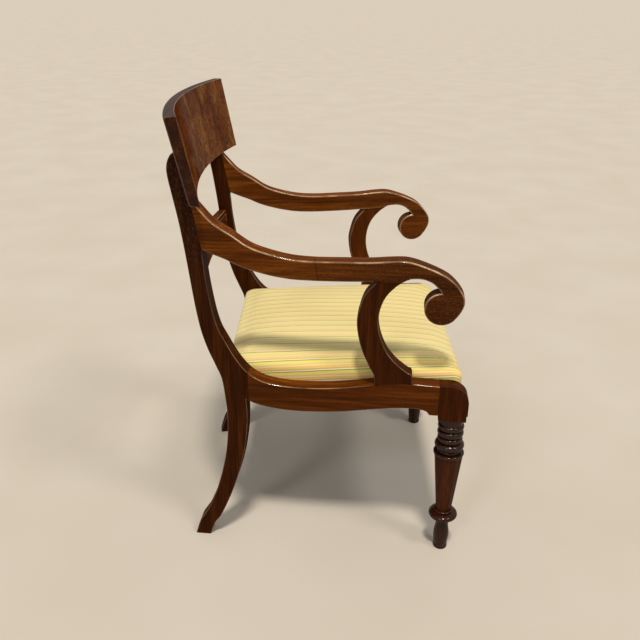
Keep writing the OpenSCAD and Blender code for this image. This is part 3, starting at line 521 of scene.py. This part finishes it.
def cut_steel(name):
    """Steel screws and blued tacks, drawn and cut: dull grey metal with brown tarnish spots."""
    material, tree = new_material(name)
    place = add(tree, "ShaderNodeTexCoord").outputs["Object"]
    # spots about 2.5 mm across
    spots = add(tree, "ShaderNodeTexNoise", {
        "Vector": place, "Scale": 400.0, "Detail": 4.0}).outputs[0]
    colour = add(tree, "ShaderNodeValToRGB", {"Fac": spots}, stops=[
        (0.42, "#6b6e73"), (0.58, "#8f9195"), (0.68, "#6a4a34")]).outputs[0]
    rough = add(tree, "ShaderNodeMapRange", {
        "Value": spots, "To Min": 0.3, "To Max": 0.6}).outputs[0]
    return finish_material(material, {
        "Base Color": colour, "Metallic": 1.0, "Roughness": rough})


# Boards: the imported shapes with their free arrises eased

# pieces that are nearer than this are joined
TOUCHING = 0.45 * MM
# an edge that bends less than this belongs to a curve
SHARP = math.radians(28)
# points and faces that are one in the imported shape
SAME_POINT = 0.02 * MM
SAME_FACE = math.radians(0.4)

trees = {}
for name, source in nodes.items():
    bm = bmesh.new()
    bm.from_mesh(source.data)
    trees[name] = BVHTree.FromBMesh(bm)
    bm.free()


def touches_another(point, own):
    return any(
        name != own and tree.find_nearest(point, TOUCHING)[0] is not None
        for name, tree in trees.items())


def merged_copy(node, name):
    """A copy of a CAD node's mesh with its doubles merged and its flat faces made whole."""
    obj = bpy.data.objects.new(name, nodes[node].data.copy())
    bpy.context.scene.collection.objects.link(obj)
    edit(obj)
    select_all()
    bpy.ops.mesh.remove_doubles(threshold=SAME_POINT)
    bpy.ops.mesh.customdata_custom_splitnormals_clear()
    bpy.ops.mesh.dissolve_limited(angle_limit=SAME_FACE)
    bpy.ops.mesh.normals_make_consistent(inside=False)
    leave()
    return obj


def ease(obj, node, width, test, clamp=False):
    """Rounds the free convex arrises that pass the test, and marks them for paler wear, a painted
    highlight and more gloss.
    """
    edit(obj)

    def free(edge):
        if len(edge.link_faces) != 2 or not edge.is_convex:
            return False
        if edge.calc_face_angle() < SHARP or not test(edge):
            return False
        middle = (edge.verts[0].co + edge.verts[1].co) / 2
        return not touches_another(middle, node)

    def narrow(face):
        """True for a face of the rounding itself, and not for a face with rounded edges."""
        longest = max(edge.calc_length() for edge in face.edges)
        return face.select and face.calc_area() < 0.8 * width * longest

    if select_in(obj, "edges", free):
        bpy.ops.mesh.bevel(offset=width, offset_type="OFFSET", segments=3, profile=0.5,
                           affect="EDGES", clamp_overlap=clamp)
        mark_inside(obj, "arris", 0.9, narrow)
    leave()


# the near arm's scarf joint: a point on it and its direction
SEAM = ((-0.241, 0.010, 0.64), (0.0, 0.985, -0.17))
# boards that deepen towards an end: the axis, where it starts and ends, and how much
FADES = {"arm_right": (1, 0.10, -0.16, 0.50), "arm_left": (1, 0.10, -0.16, 0.22),
         "rear_leg_right": (2, 0.50, 0.80, 0.50)}
# how far on in the noise the next board's grain begins, so that no two are alike
NEXT_BOARD = 0.37

# each board's width of easing is in millimetres
wood_shift = 0.0
for side, sign in (("left", 1), ("right", -1)):
    facing = Vector((math.cos(SPLAY) * sign, math.sin(SPLAY), 0))

    def is_side(face):
        return abs(face.normal.dot(facing)) > 0.998

    for kind, along, width, shades in (
            ("rear_leg", "z", 2.0, LEG), ("side_rail", "y", 2.2, BROWN), ("arm", "y", 3.4, ARM),
            ("arm_support", "z", 2.2, LEG if side == "right" else BROWN)):
        wood_shift += NEXT_BOARD
        node = f"{kind}_{side}"
        wood = polished_wood(f"polished mahogany {kind} {side}".replace("_", " "), along, shades,
                             wood_shift, SPLAY * sign, fade=FADES.get(node),
                             seam=SEAM if node == "arm_right" else None)
        obj = merged_copy(node, f"{node}_board")
        ease(obj, node, width * MM, lambda edge: (
            is_side(edge.link_faces[0]) != is_side(edge.link_faces[1])))
        finish_smooth(obj)
        dress(obj, wood, "chair_frame", "mahogany", node)

for node, name, width, wood, slot in (
        ("front_rail", "front_rail_board", 1.5,
         polished_wood("polished mahogany front rail", "x", BROWN, 3.1), "mahogany"),
        ("back_rail", "back_rail_board", 1.5,
         polished_wood("polished mahogany back rail", "x", BROWN, 3.7), "mahogany"),
        ("cross_rail", "cross_rail_board", 1.8,
         polished_wood("polished mahogany cross rail", "x", BROWN, 5.3), "mahogany"),
        ("crest_rail", "crest_board", 2.4,
         polished_wood("polished mahogany crest", "x", CREST, 4.3, polish=0.22, painted_top_light=0),
         "mahogany"),
        ("crest_veneer", "crest_face", 0.7,
         polished_wood("polished figured mahogany veneer", "z", FIGURED, 4.9, polish=0.10,
                       painted_top_light=0, burr=True), "figured_mahogany")):
    obj = merged_copy(node, name)
    ease(obj, node, width * MM, lambda edge: True)
    finish_smooth(obj)
    dress(obj, wood, "chair_frame", slot, node)


# Front legs: a square block with a rounded knee over a turned and planed leg

TURNED_R = 31 * MM
TURNED_L = 329.96 * MM
# the neck runs this high, into the block
NECK_TOP = TURNED_L + 1 * MM
BLOCK_TOP = 405.96 * MM
BLOCK_W = 50 * MM
BLOCK_D = 58.33 * MM
BLOCK_FOOT = 14 * MM
BLOCK_SET_IN = 4 * MM
LEDGE_Z = 370 * MM
BOARD = 32 * MM
KNEE_R = 37 * MM
LEG_AXIS = (249.19 * MM, -262.05 * MM)
# the taper's ends, each with its height as a share of the turned length and its radius as a
# share of the turned radius
TAPER_SIDES = 8
TAPER_LOW, TAPER_LOW_R = 0.306, 0.53
TAPER_HIGH, TAPER_HIGH_R = 0.7315, 0.955
# the rings' middle height, half height, radius and radius at the edges, as shares of the turned
# length and radius
UPPER_RINGS = ((0.7405, 0.0095, 1.0, 0.93), (0.7625, 0.0115, 0.80, 0.66),
               (0.799, 0.024, 0.96, 0.67), (0.843, 0.019, 0.82, 0.65),
               (0.887, 0.021, 0.85, 0.66), (0.932, 0.0195, 0.85, 0.68))
FOOT_RINGS = ((0.2345, 0.0085, 0.66, 0.48), (0.267, 0.024, 0.97, 0.54),
              (0.300, 0.0075, 0.63, 0.50))
# the outline between the rings, as shares of the turned radius and length
UPPER_START = ((0, 0.728), (0.90, 0.728), (0.90, 0.7305))
NECK_R, NECK_START = 0.74, 0.9525
FOOT_OUTLINE = (
    (0.452, 0.032), (0.470, 0.045), (0.492, 0.062), (0.511, 0.080), (0.522, 0.096),
    (0.525, 0.107), (0.519, 0.120), (0.503, 0.134), (0.480, 0.149), (0.456, 0.164),
    (0.433, 0.180), (0.419, 0.195), (0.415, 0.208), (0.420, 0.222))
FOOT_END_R, FOOT_END = 0.50, 0.312


def ring(middle, half, radius, edge, steps=12):
    """One ring's outline: half an oval, from its lower to its upper edge."""
    return [((edge + (radius - edge) * math.cos(a)) * TURNED_R,
             (middle + half * math.sin(a)) * TURNED_L)
            for a in (-math.pi / 2 + math.pi * k / steps for k in range(steps + 1))]


def spun(name, profile, steps=96):
    """Turns a profile, given as radius and height from pole to pole, about the upright axis."""
    deselect()
    bpy.ops.mesh.primitive_plane_add(size=0.002)
    obj = bpy.context.object
    obj.name = obj.data.name = name
    edit(obj)
    select_all()
    bpy.ops.mesh.merge(type="CENTER")
    bpy.ops.transform.translate(value=(profile[0][0], 0, profile[0][1]))
    for (r0, z0), (r1, z1) in zip(profile, profile[1:]):
        bpy.ops.mesh.extrude_vertices_move(
            TRANSFORM_OT_translate={"value": (r1 - r0, 0, z1 - z0)})
    select_all()
    bpy.ops.mesh.spin(steps=steps, angle=2 * math.pi, center=(0, 0, 0), axis=(0, 0, 1))
    select_all()
    bpy.ops.mesh.remove_doubles(threshold=SAME_POINT / 2)
    finish_normals()
    leave()
    return obj


def turned_parts():
    """The rings and neck, and the foot with its big bead."""
    upper = [(r * TURNED_R, z * TURNED_L) for r, z in UPPER_START]
    for values in UPPER_RINGS:
        upper += ring(*values)
    upper += [(NECK_R * TURNED_R, NECK_START * TURNED_L), (NECK_R * TURNED_R, NECK_TOP),
              (0, NECK_TOP)]
    lower = [(0, 0)] + ring(0.0125, 0.0125, 0.48, 0.44)
    lower += [(r * TURNED_R, z * TURNED_L) for r, z in FOOT_OUTLINE]
    for values in FOOT_RINGS:
        lower += ring(*values)
    lower += [(FOOT_END_R * TURNED_R, FOOT_END * TURNED_L), (0, FOOT_END * TURNED_L)]
    return spun("turned_rings", upper), spun("turned_foot", lower)


def planed_taper(name):
    """The eight-sided taper between the rings and the foot, its arrises just eased."""
    low, high = TAPER_LOW * TURNED_L, TAPER_HIGH * TURNED_L
    deselect()
    bpy.ops.mesh.primitive_cone_add(
        vertices=TAPER_SIDES, radius1=TAPER_LOW_R * TURNED_R, radius2=TAPER_HIGH_R * TURNED_R,
        depth=high - low, end_fill_type="NGON", location=(0, 0, (low + high) / 2),
        rotation=(0, 0, math.pi / TAPER_SIDES))
    obj = bpy.context.object
    obj.name = obj.data.name = name
    apply_place(obj)
    edit(obj)
    select_in(obj, "edges", lambda edge: abs(edge.verts[0].co.z - edge.verts[1].co.z) > 1 * MM)
    bpy.ops.mesh.bevel(offset=0.9 * MM, segments=3, profile=0.5, affect="EDGES")
    mark_inside(obj, "arris", 0.8)
    select_in(obj, "edges", lambda edge: min(v.co.z for v in edge.verts) > high - NEAR)
    bpy.ops.mesh.bevel(offset=0.8 * MM, segments=2, profile=0.5, affect="EDGES")
    finish_normals()
    leave()
    return obj


def knee_block(name, sign):
    """The block over a front leg: rebated inside for the seat, with a foot set in a little."""
    deselect()
    low = TURNED_L + BLOCK_FOOT
    bpy.ops.mesh.primitive_cube_add(
        size=1, location=(-sign * BOARD / 2, BLOCK_D / 2, (low + BLOCK_TOP) / 2),
        scale=(BOARD, BLOCK_D, BLOCK_TOP - low))
    obj = bpy.context.object
    obj.name = obj.data.name = name
    apply_place(obj)
    edit(obj)
    select_all()
    bpy.ops.mesh.bisect(plane_co=(0, 0, LEDGE_Z), plane_no=(0, 0, 1))
    select_in(obj, "faces", lambda face: (
        face.normal.x * -sign > 0.9 and face.calc_center_median().z < LEDGE_Z))
    extrude(value=(-sign * (BLOCK_W - BOARD), 0, 0))
    select_in(obj, "faces", lambda face: face.normal.z < -0.9)
    extrude(value=(0, 0, 0))
    set_in = (BLOCK_D - BLOCK_SET_IN) / BLOCK_D
    bpy.ops.transform.resize(value=(1, set_in, 1), center_override=(0, BLOCK_D / 2, low))
    extrude(value=(0, 0, -BLOCK_FOOT))
    select_in(obj, "edges", lambda edge: all(
        v.co.z > BLOCK_TOP - NEAR and v.co.y < NEAR for v in edge.verts))
    bpy.ops.mesh.bevel(offset=KNEE_R, segments=14, profile=0.5, affect="EDGES")
    finish_normals()
    leave()
    obj.rotation_euler.z = sign * SPLAY
    obj.location = (sign * FRONT_W / 2, FRONT_Y, 0)
    apply_place(obj)
    edit(obj)
    select_all()
    bpy.ops.mesh.bisect(plane_co=(0, FRONT_Y, 0), plane_no=(0, -1, 0), clear_outer=True,
                        use_fill=True)
    finish_normals()
    leave()
    return obj


rings, foot = turned_parts()
taper = planed_taper("planed_taper")
for part, amount in ((rings, 0.62), (foot, 0.50)):
    edit(part)
    select_all()
    mark_inside(part, "gloss", amount)
    leave()
    smooth(part, 35)
finish_smooth(taper, 25)
turned = join(rings, foot, taper)
for side, sign in (("left", 1), ("right", -1)):
    node = f"front_leg_{side}"
    wood_shift += NEXT_BOARD
    block = knee_block(f"{node}_turned", sign)
    ease(block, node, 1.8 * MM, lambda edge: (
        min(v.co.z for v in edge.verts) > NECK_TOP), True)
    finish_smooth(block, 25)
    block.data.materials.append(polished_wood(
        f"dark polished mahogany block {side}", "z", DARK, wood_shift, painted_top_light=0.5))
    shaft = bpy.data.objects.new("shaft", turned.data.copy())
    bpy.context.scene.collection.objects.link(shaft)
    shaft.location = (sign * LEG_AXIS[0], LEG_AXIS[1], 0)
    apply_place(shaft)
    shaft.data.materials.clear()
    shaft.data.materials.append(polished_wood(
        f"dark polished mahogany turning {side}", "z", DARK, wood_shift + 0.2, polish=0.2,
        painted_top_light=0.0))
    settle(join(block, shaft), "chair_frame", "mahogany_dark", node)
bpy.data.objects.remove(turned)


# The drop-in seat

COVER_Z = 371.1 * MM
DUST_CLOTH_Z = 370.3 * MM
HESSIAN_Z = 396.2 * MM
STUFFING_Z = 397 * MM
ROLL_Z = 409.1 * MM
SEAT_FRONT = 7 * MM
SEAT_BACK = 474.56 * MM
SIDE_GAP = 33.5 * MM
CORNER_R = 16 * MM
# the crown's rise over the rolled edge
CROWN = 35 * MM
SEAT_MIDDLE = Vector((0, FRONT_Y + (SEAT_FRONT + SEAT_BACK) / 2, 0))
# how nearly the rings turn oval in the middle
OVAL = 0.8
# passes of averaging over the outline's directions
CORNER_PASSES = 16
# the pad's rings above its rolled edge: share of the reach from the middle, and of the crown
DOME = ((0.996, 0.12), (0.989, 0.22), (0.977, 0.32), (0.960, 0.41), (0.935, 0.50),
        (0.900, 0.58), (0.850, 0.655), (0.800, 0.715), (0.740, 0.77), (0.68, 0.82), (0.60, 0.87),
        (0.52, 0.91), (0.44, 0.94), (0.36, 0.963), (0.28, 0.98), (0.20, 0.99), (0.12, 0.997),
        (0.05, 1.0))


def half_inside(back, inset):
    """Half the width this far back from the front and this far inside the rails' outer faces."""
    return FRONT_W / 2 - back * math.tan(SPLAY) - inset / math.cos(SPLAY)


def seat_outline(inset, corner=8, sides=22, ends=26):
    """The seat's outline seen from above, from the front corner on the left all the way round."""
    def arc(back, first, last, deep):
        r = max(CORNER_R - inset, CORNER_R / 4)
        mid = back + deep * (inset + r)
        x = half_inside(mid, SIDE_GAP + inset + r)
        return [Vector((x + r * math.cos(a), FRONT_Y + mid + r * math.sin(a), 0))
                for a in (first + (last - first) * k / corner for k in range(corner + 1))]

    front = arc(SEAT_FRONT, -math.pi / 2, SPLAY, 1)
    rear = arc(SEAT_BACK, SPLAY, math.pi / 2, -1)
    side = [front[-1].lerp(rear[0], k / sides) for k in range(1, sides)]
    left = front + side + rear
    right = [Vector((-p.x, p.y, 0)) for p in reversed(left)]
    back_edge = [left[-1].lerp(right[0], k / ends) for k in range(1, ends)]
    front_edge = [right[-1].lerp(left[0], k / ends) for k in range(1, ends)]
    return left + back_edge + right + front_edge


def seat_ring(inset, share, height):
    """The outline drawn in towards the middle, where it rounds into an oval."""
    half_x = half_inside((SEAT_FRONT + SEAT_BACK) / 2, SIDE_GAP + inset)
    half_y = (SEAT_BACK - SEAT_FRONT) / 2 - inset
    points = []
    for p in seat_outline(inset):
        v = p - SEAT_MIDDLE
        a = math.atan2(v.y / half_y, v.x / half_x)
        turn = (1 - share) * OVAL
        oval = Vector((half_x * math.cos(a), half_y * math.sin(a), 0))
        q = SEAT_MIDDLE + share * ((1 - turn) * v + turn * oval)
        points.append(Vector((q.x, q.y, height)))
    return points


def order_like(verts, ring_points):
    """The vertices sorted round the middle as the ring's points are."""
    def angle(co):
        return math.atan2(co.y - SEAT_MIDDLE.y, co.x - SEAT_MIDDLE.x)
    ranked = sorted(verts, key=lambda v: angle(v.co))
    order = sorted(range(len(ring_points)), key=lambda i: angle(ring_points[i]))
    result = [None] * len(ring_points)
    for vert, index in zip(ranked, order):
        result[index] = vert
    return result


def loft(name, rings, close_start=False):
    """A circle extruded from ring to ring and closed at the middle of the last. Each point
    keeps its place on the flat cloth, so that a woven pattern follows the surface."""
    count = len(rings[0])
    outward = []
    for k in range(count):
        tangent = rings[0][(k + 1) % count] - rings[0][k - 1]
        outward.append(Vector((tangent.y, -tangent.x, 0)).normalized())
    # averaged along the outline, so that the stripes bend gently round the corners
    for _ in range(CORNER_PASSES):
        outward = [(outward[k - 1] + 2 * outward[k] + outward[(k + 1) % count]).normalized()
                   for k in range(count)]
    # the cloth is laid out from the middle, so its places are summed outwards from the last ring
    flat = [[p.xy.copy() for p in rings[-1]]]
    for inner, outer in zip(reversed(rings), reversed(rings[:-1])):
        places = []
        for k in range(count):
            step = outer[k] - inner[k]
            level_step = step.xy.dot(outward[k].xy)
            length = math.hypot(level_step, step.z)
            if level_step < -1e-6:
                # turned under: the cloth runs on outwards while the surface comes back
                places.append(flat[-1][k] + outward[k].xy * length)
            else:
                extra = length - abs(level_step)
                places.append(flat[-1][k] + step.xy + outward[k].xy * extra)
        flat.append(places)
    flat.reverse()
    deselect()
    bpy.ops.mesh.primitive_circle_add(vertices=count, radius=0.2, fill_type="NOTHING")
    obj = bpy.context.object
    obj.name = obj.data.name = name
    for vert, place in zip(obj.data.vertices, rings[0]):
        vert.co = place
    edit(obj)
    for number, ring_points in enumerate(rings):
        if number:
            bpy.ops.mesh.extrude_region_move()
        bm = bmesh.from_edit_mesh(obj.data)
        layer = bm.verts.layers.float_vector.get("cloth")
        if layer is None:
            layer = bm.verts.layers.float_vector.new("cloth")
        moved = [v for v in bm.verts if v.select] if number else list(bm.verts)
        for v, p, place in zip(order_like(moved, ring_points), ring_points, flat[number]):
            v.co = p
            v[layer] = (place.x, place.y, 0)
        bmesh.update_edit_mesh(obj.data)
        if not number:
            select_all()
    bpy.ops.mesh.merge(type="CENTER")
    if close_start:
        select_in(obj, "edges", lambda edge: edge.is_boundary)
        bpy.ops.mesh.edge_face_add()
        bpy.ops.mesh.inset(thickness=20 * MM)
    finish_normals()
    leave()
    return obj


SWELL_FRAMES = 20
SWELL_IN = 0.2 * MM


def swell(obj, cap, held_below):
    """Lets the stuffing press the cover out like real cloth, no further than cap. It hardly
    goes inwards, since the stuffing lies there."""
    group = obj.vertex_groups.new(name="held")
    group.add([v.index for v in obj.data.vertices if v.co.z < held_below], 1.0, "REPLACE")
    before = [(v.co.copy(), v.normal.copy()) for v in obj.data.vertices]
    settings = obj.modifiers.new("cloth", "CLOTH").settings
    settings.quality = 6
    settings.mass = 0.3
    settings.tension_stiffness = settings.compression_stiffness = 15
    settings.use_pressure = True
    settings.uniform_pressure_force = 4
    settings.vertex_group_mass = "held"
    settings.effector_weights.gravity = 0
    for step in range(1, SWELL_FRAMES + 1):
        bpy.context.scene.frame_set(step)
    apply_modifiers(obj)
    bpy.context.scene.frame_set(1)
    for vert, (old, outward) in zip(obj.data.vertices, before):
        rise = (vert.co - old).dot(outward)
        vert.co = old + outward * min(max(rise, -SWELL_IN), cap)
    obj.vertex_groups.clear()


def cut_area(inset):
    """The area of a sheet cut to the seat's outline."""
    points = seat_outline(inset)
    return abs(sum(p.x * q.y - q.x * p.y for p, q in zip(points, points[1:] + points[:1]))) / 2


# the cover: turned under the frame, up the side, over the rolled edge to the crown. Inset and
# height of its first rings, and heights up its side, in millimetres
UNDER = ((42, 0.1), (28, 0.1), (14, 0.1), (4, 0.1), (1.6, 0.7), (0.6, 2.4))
SIDE_RISES = (8, 15, 22, 29, 34)
COVER_INSET, COVER_T = 0.5 * MM, 1.1 * MM
ROLL_DIP = 1.5 * MM
# on the flat crown, this far round the middle, the cloth lies just as it would on a table
CROWN_R, CROWN_FADE = 60 * MM, 50 * MM

rings_up = [seat_ring(inset * MM, 1, COVER_Z + rise * MM) for inset, rise in UNDER]
rings_up += [seat_ring(COVER_INSET, 1, COVER_Z + rise * MM) for rise in SIDE_RISES]
rings_up += [seat_ring(COVER_INSET, 1, ROLL_Z)]
rings_up += [seat_ring(COVER_INSET, share, ROLL_Z + rise * CROWN - ROLL_DIP * min(1, rise * 2))
             for share, rise in DOME]
cover = loft("seat_cover_cloth", rings_up)
swell(cover, cap=3.2 * MM, held_below=ROLL_Z - 4 * MM)
subdivide_once(cover)
places = cover.data.attributes["cloth"].data
for vert, place in zip(cover.data.vertices, places):
    away = (vert.co - SEAT_MIDDLE).xy.length
    share = min(1, max(0, (away - CROWN_R) / CROWN_FADE))
    place.vector = Vector((vert.co.x, vert.co.y, 0)).lerp(Vector(place.vector), share)
thicken(cover, COVER_T)
smooth(cover, 60)
dress(cover, striped_cotton("woven striped cotton rep"), "drop_in_seat", "striped_cloth",
      "seat_cover")

# the pad fills the cover from inside, its lower edge square on the hessian
PAD_INSET = 3.4 * MM
rings_up = [seat_ring(PAD_INSET, 1, z) for z in (
    STUFFING_Z + 0.2 * MM, STUFFING_Z + 4 * MM, STUFFING_Z + 8 * MM, ROLL_Z - 1.5 * MM)]
rings_up += [seat_ring(PAD_INSET, share, ROLL_Z - 3 * MM + rise * (CROWN - 1.8 * MM))
             for share, rise in DOME]
stuffing = loft("seat_stuffing_pad", rings_up, close_start=True)
subdivide_once(stuffing)
smooth(stuffing, 60)
dress(stuffing, curled_hair("curled horsehair"), "drop_in_seat", "horsehair", "seat_stuffing")


# a flat cloth's rings, as shares of the reach from the middle
CLOTH_RINGS = (1, 0.985, 0.96, 0.92, 0.86, 0.78, 0.70, 0.62, 0.54, 0.46, 0.38, 0.30, 0.22, 0.14,
               0.06)
HESSIAN_INSET, HESSIAN_T = 2.1 * MM, 0.7 * MM
DUST_CLOTH_INSET, DUST_CLOTH_T, DUST_CLOTH_SAG = 3 * MM, 0.6 * MM, 2 * MM


def flat_cloth(name, inset, low, thickness, sag):
    """A sheet tacked flat under or over the seat frame, sagging a little in its middle."""
    obj = loft(name, [
        seat_ring(inset, share, low + thickness - sag * max(0, 0.85 - share) ** 0.5)
        for share in CLOTH_RINGS])
    face_up(obj)
    thicken(obj, thickness)
    smooth(obj, 40)
    return obj


hessian = flat_cloth("hessian_sheet", HESSIAN_INSET, HESSIAN_Z, HESSIAN_T, 0)
dress(hessian, woven("woven jute hessian", "#6f5430", "#c2a06a", 1.6 * MM, 0.4 * MM),
      "drop_in_seat", "jute", "hessian")
cut_area(HESSIAN_INSET)
dust_cloth = flat_cloth("dust_cloth_sheet", DUST_CLOTH_INSET, DUST_CLOTH_Z, DUST_CLOTH_T,
                        DUST_CLOTH_SAG)
dress(dust_cloth, woven("black cotton dust cloth", "#121110", "#34322f", 1.0 * MM, 0.2 * MM),
      "drop_in_seat", "black_cloth", "dust_cloth")
cut_area(DUST_CLOTH_INSET)

WEBBING_W, WEBBING_T = 50 * MM, 1.2 * MM
WEBBING_SAG = 0.25 * MM
# the straps lie flat over the frame for this much at each end
WEBBING_ENDS = 60 * MM


def straps(name, node, along, material):
    """Three webbing straps side by side over the seat frame, tight but for a slight sag."""
    low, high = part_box(node)
    across = 1 - along
    made = []
    starts = (low[across], (low[across] + high[across] - WEBBING_W) / 2,
              high[across] - WEBBING_W)
    for start in starts:
        centre = [0, 0, high[2]]
        centre[across] = start + WEBBING_W / 2
        centre[along] = (low[along] + high[along]) / 2
        size = [WEBBING_W, WEBBING_W, 1]
        size[along] = high[along] - low[along]
        deselect()
        bpy.ops.mesh.primitive_plane_add(size=1, location=centre)
        strap = bpy.context.object
        strap.scale = size
        apply_place(strap)
        edit(strap)
        select_in(strap, "edges", lambda edge: abs(
            edge.verts[0].co[along] - edge.verts[1].co[along]) > WEBBING_W)
        bpy.ops.mesh.subdivide(number_cuts=24)
        select_in(strap, "verts", lambda v: min(
            abs(v.co[along] - low[along]), abs(v.co[along] - high[along])) > WEBBING_ENDS)
        bpy.ops.transform.translate(value=(0, 0, -WEBBING_SAG))
        leave()
        face_up(strap)
        thicken(strap, WEBBING_T)
        made.append(strap)
    obj = join(*made)
    obj.name = obj.data.name = name
    smooth(obj, 40)
    return dress(obj, material, "drop_in_seat", "jute", node)


webbing = woven("woven jute webbing", "#6a4d2a", "#b8925c", 1.3 * MM, 0.4 * MM)
straps("webbing_long_straps", "webbing_long", 1, webbing)
straps("webbing_cross_straps", "webbing_cross", 0, webbing)


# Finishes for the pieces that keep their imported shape

BEECH = ("#b98f58", "#d3ac76", "#8d6437")
beech_across = plain_wood("bare planed beech across", "x", BEECH)
beech_along = plain_wood("bare planed beech along", "y", BEECH)
steel = cut_steel("tarnished cut steel")
plug_wood = polished_wood("polished mahogany plugs", "x", BROWN, 6.1)
for node, material in (
        ("corner_blocks", beech_across), ("support_dowels", beech_across),
        ("corner_block_screws", steel), ("support_screws", steel), ("arm_screws", steel),
        ("crest_screws", steel), ("screw_plugs", plug_wood), ("webbing_tacks", steel),
        ("cover_tacks", steel), ("seat_rail_front", beech_across),
        ("seat_rail_back", beech_across), ("seat_rail_right", beech_along),
        ("seat_rail_left", beech_along)):
    nodes[node].data.materials.clear()
    nodes[node].data.materials.append(material)


# Floor, light and camera

deselect()
bpy.ops.mesh.primitive_plane_add(size=400, location=(0, 0, 0))
floor = bpy.context.object
floor.name = "pale_floor"
floor_paint, tree = new_material("pale floor paint, rolled on")
place = add(tree, "ShaderNodeTexCoord").outputs["Object"]
cloud = add(tree, "ShaderNodeTexNoise", {"Vector": place, "Scale": 3.0, "Detail": 2.0}).outputs[0]
tone = add(tree, "ShaderNodeValToRGB", {"Fac": cloud}, stops=[
    (0.3, "#d3cabc"), (0.7, "#d8d0c3")]).outputs[0]
floor.data.materials.append(finish_material(floor_paint, {
    "Base Color": tone, "Roughness": 0.8, "Specular IOR Level": 0.2}))

world = bpy.data.worlds.new("studio")
bpy.context.scene.world = world
world.use_nodes = True
world.node_tree.nodes.clear()
tree = world.node_tree
path = add(tree, "ShaderNodeLightPath")
# the camera, polish and glass see a pale background, brighter than the light it gives
seen = path.outputs["Is Camera Ray"]
for ray in ("Is Glossy Ray", "Is Transmission Ray"):
    seen = add(tree, "ShaderNodeMath", {0: seen, 1: path.outputs[ray]},
               operation="MAXIMUM").outputs[0]
strength = add(tree, "ShaderNodeMapRange", {
    "Value": seen, "To Min": 0.36, "To Max": 0.72}).outputs[0]
back = add(tree, "ShaderNodeBackground", {"Color": linear("#f2eee8"), "Strength": strength})
add(tree, "ShaderNodeOutputWorld", {"Surface": back.outputs[0]})


def lamp(name, direction, angle, energy, colour):
    """A far lamp that shines along a direction and looks as wide as the angle."""
    light = bpy.data.lights.new(name, "SUN")
    light.angle = math.radians(angle)
    light.energy = energy
    light.color = linear(colour)[:3]
    obj = bpy.data.objects.new(name, light)
    bpy.context.scene.collection.objects.link(obj)
    obj.rotation_mode = "QUATERNION"
    obj.rotation_quaternion = Vector(direction).to_track_quat("-Z", "Y")
    obj.location = -2.5 * Vector(direction).normalized()
    return obj


lamp("overhead_light", (0.40, 0.02, -1.0), 7, 1.75, "#fff6e8")
lamp("front_light", (0.35, 0.50, -0.85), 12, 0.60, "#fffaf2")
lamp("window_light", (0.75, -0.45, -0.75), 10, 0.30, "#f4f7ff")

CAMERA_PLACE = (-1.4727, -0.00095, 1.095)
YAW, PITCH, ROLL = math.radians(-0.12), math.radians(24.55), math.radians(0.35)

camera = bpy.data.cameras.new("camera")
camera.lens = 40.455
camera.sensor_width = 36
view = bpy.data.objects.new("camera", camera)
bpy.context.scene.collection.objects.link(view)
bpy.context.scene.camera = view
# it looks along +X, a quarter turn to the right of +Y, and down by the pitch
view.matrix_world = (
    Matrix.Translation(CAMERA_PLACE) @ Matrix.Rotation(-math.pi / 2 - YAW, 4, "Z")
    @ Matrix.Rotation(math.pi / 2 - PITCH, 4, "X") @ Matrix.Rotation(ROLL, 4, "Z"))
bpy.context.scene.view_settings.view_transform = "Standard"

deselect()
bpy.context.view_layer.update()
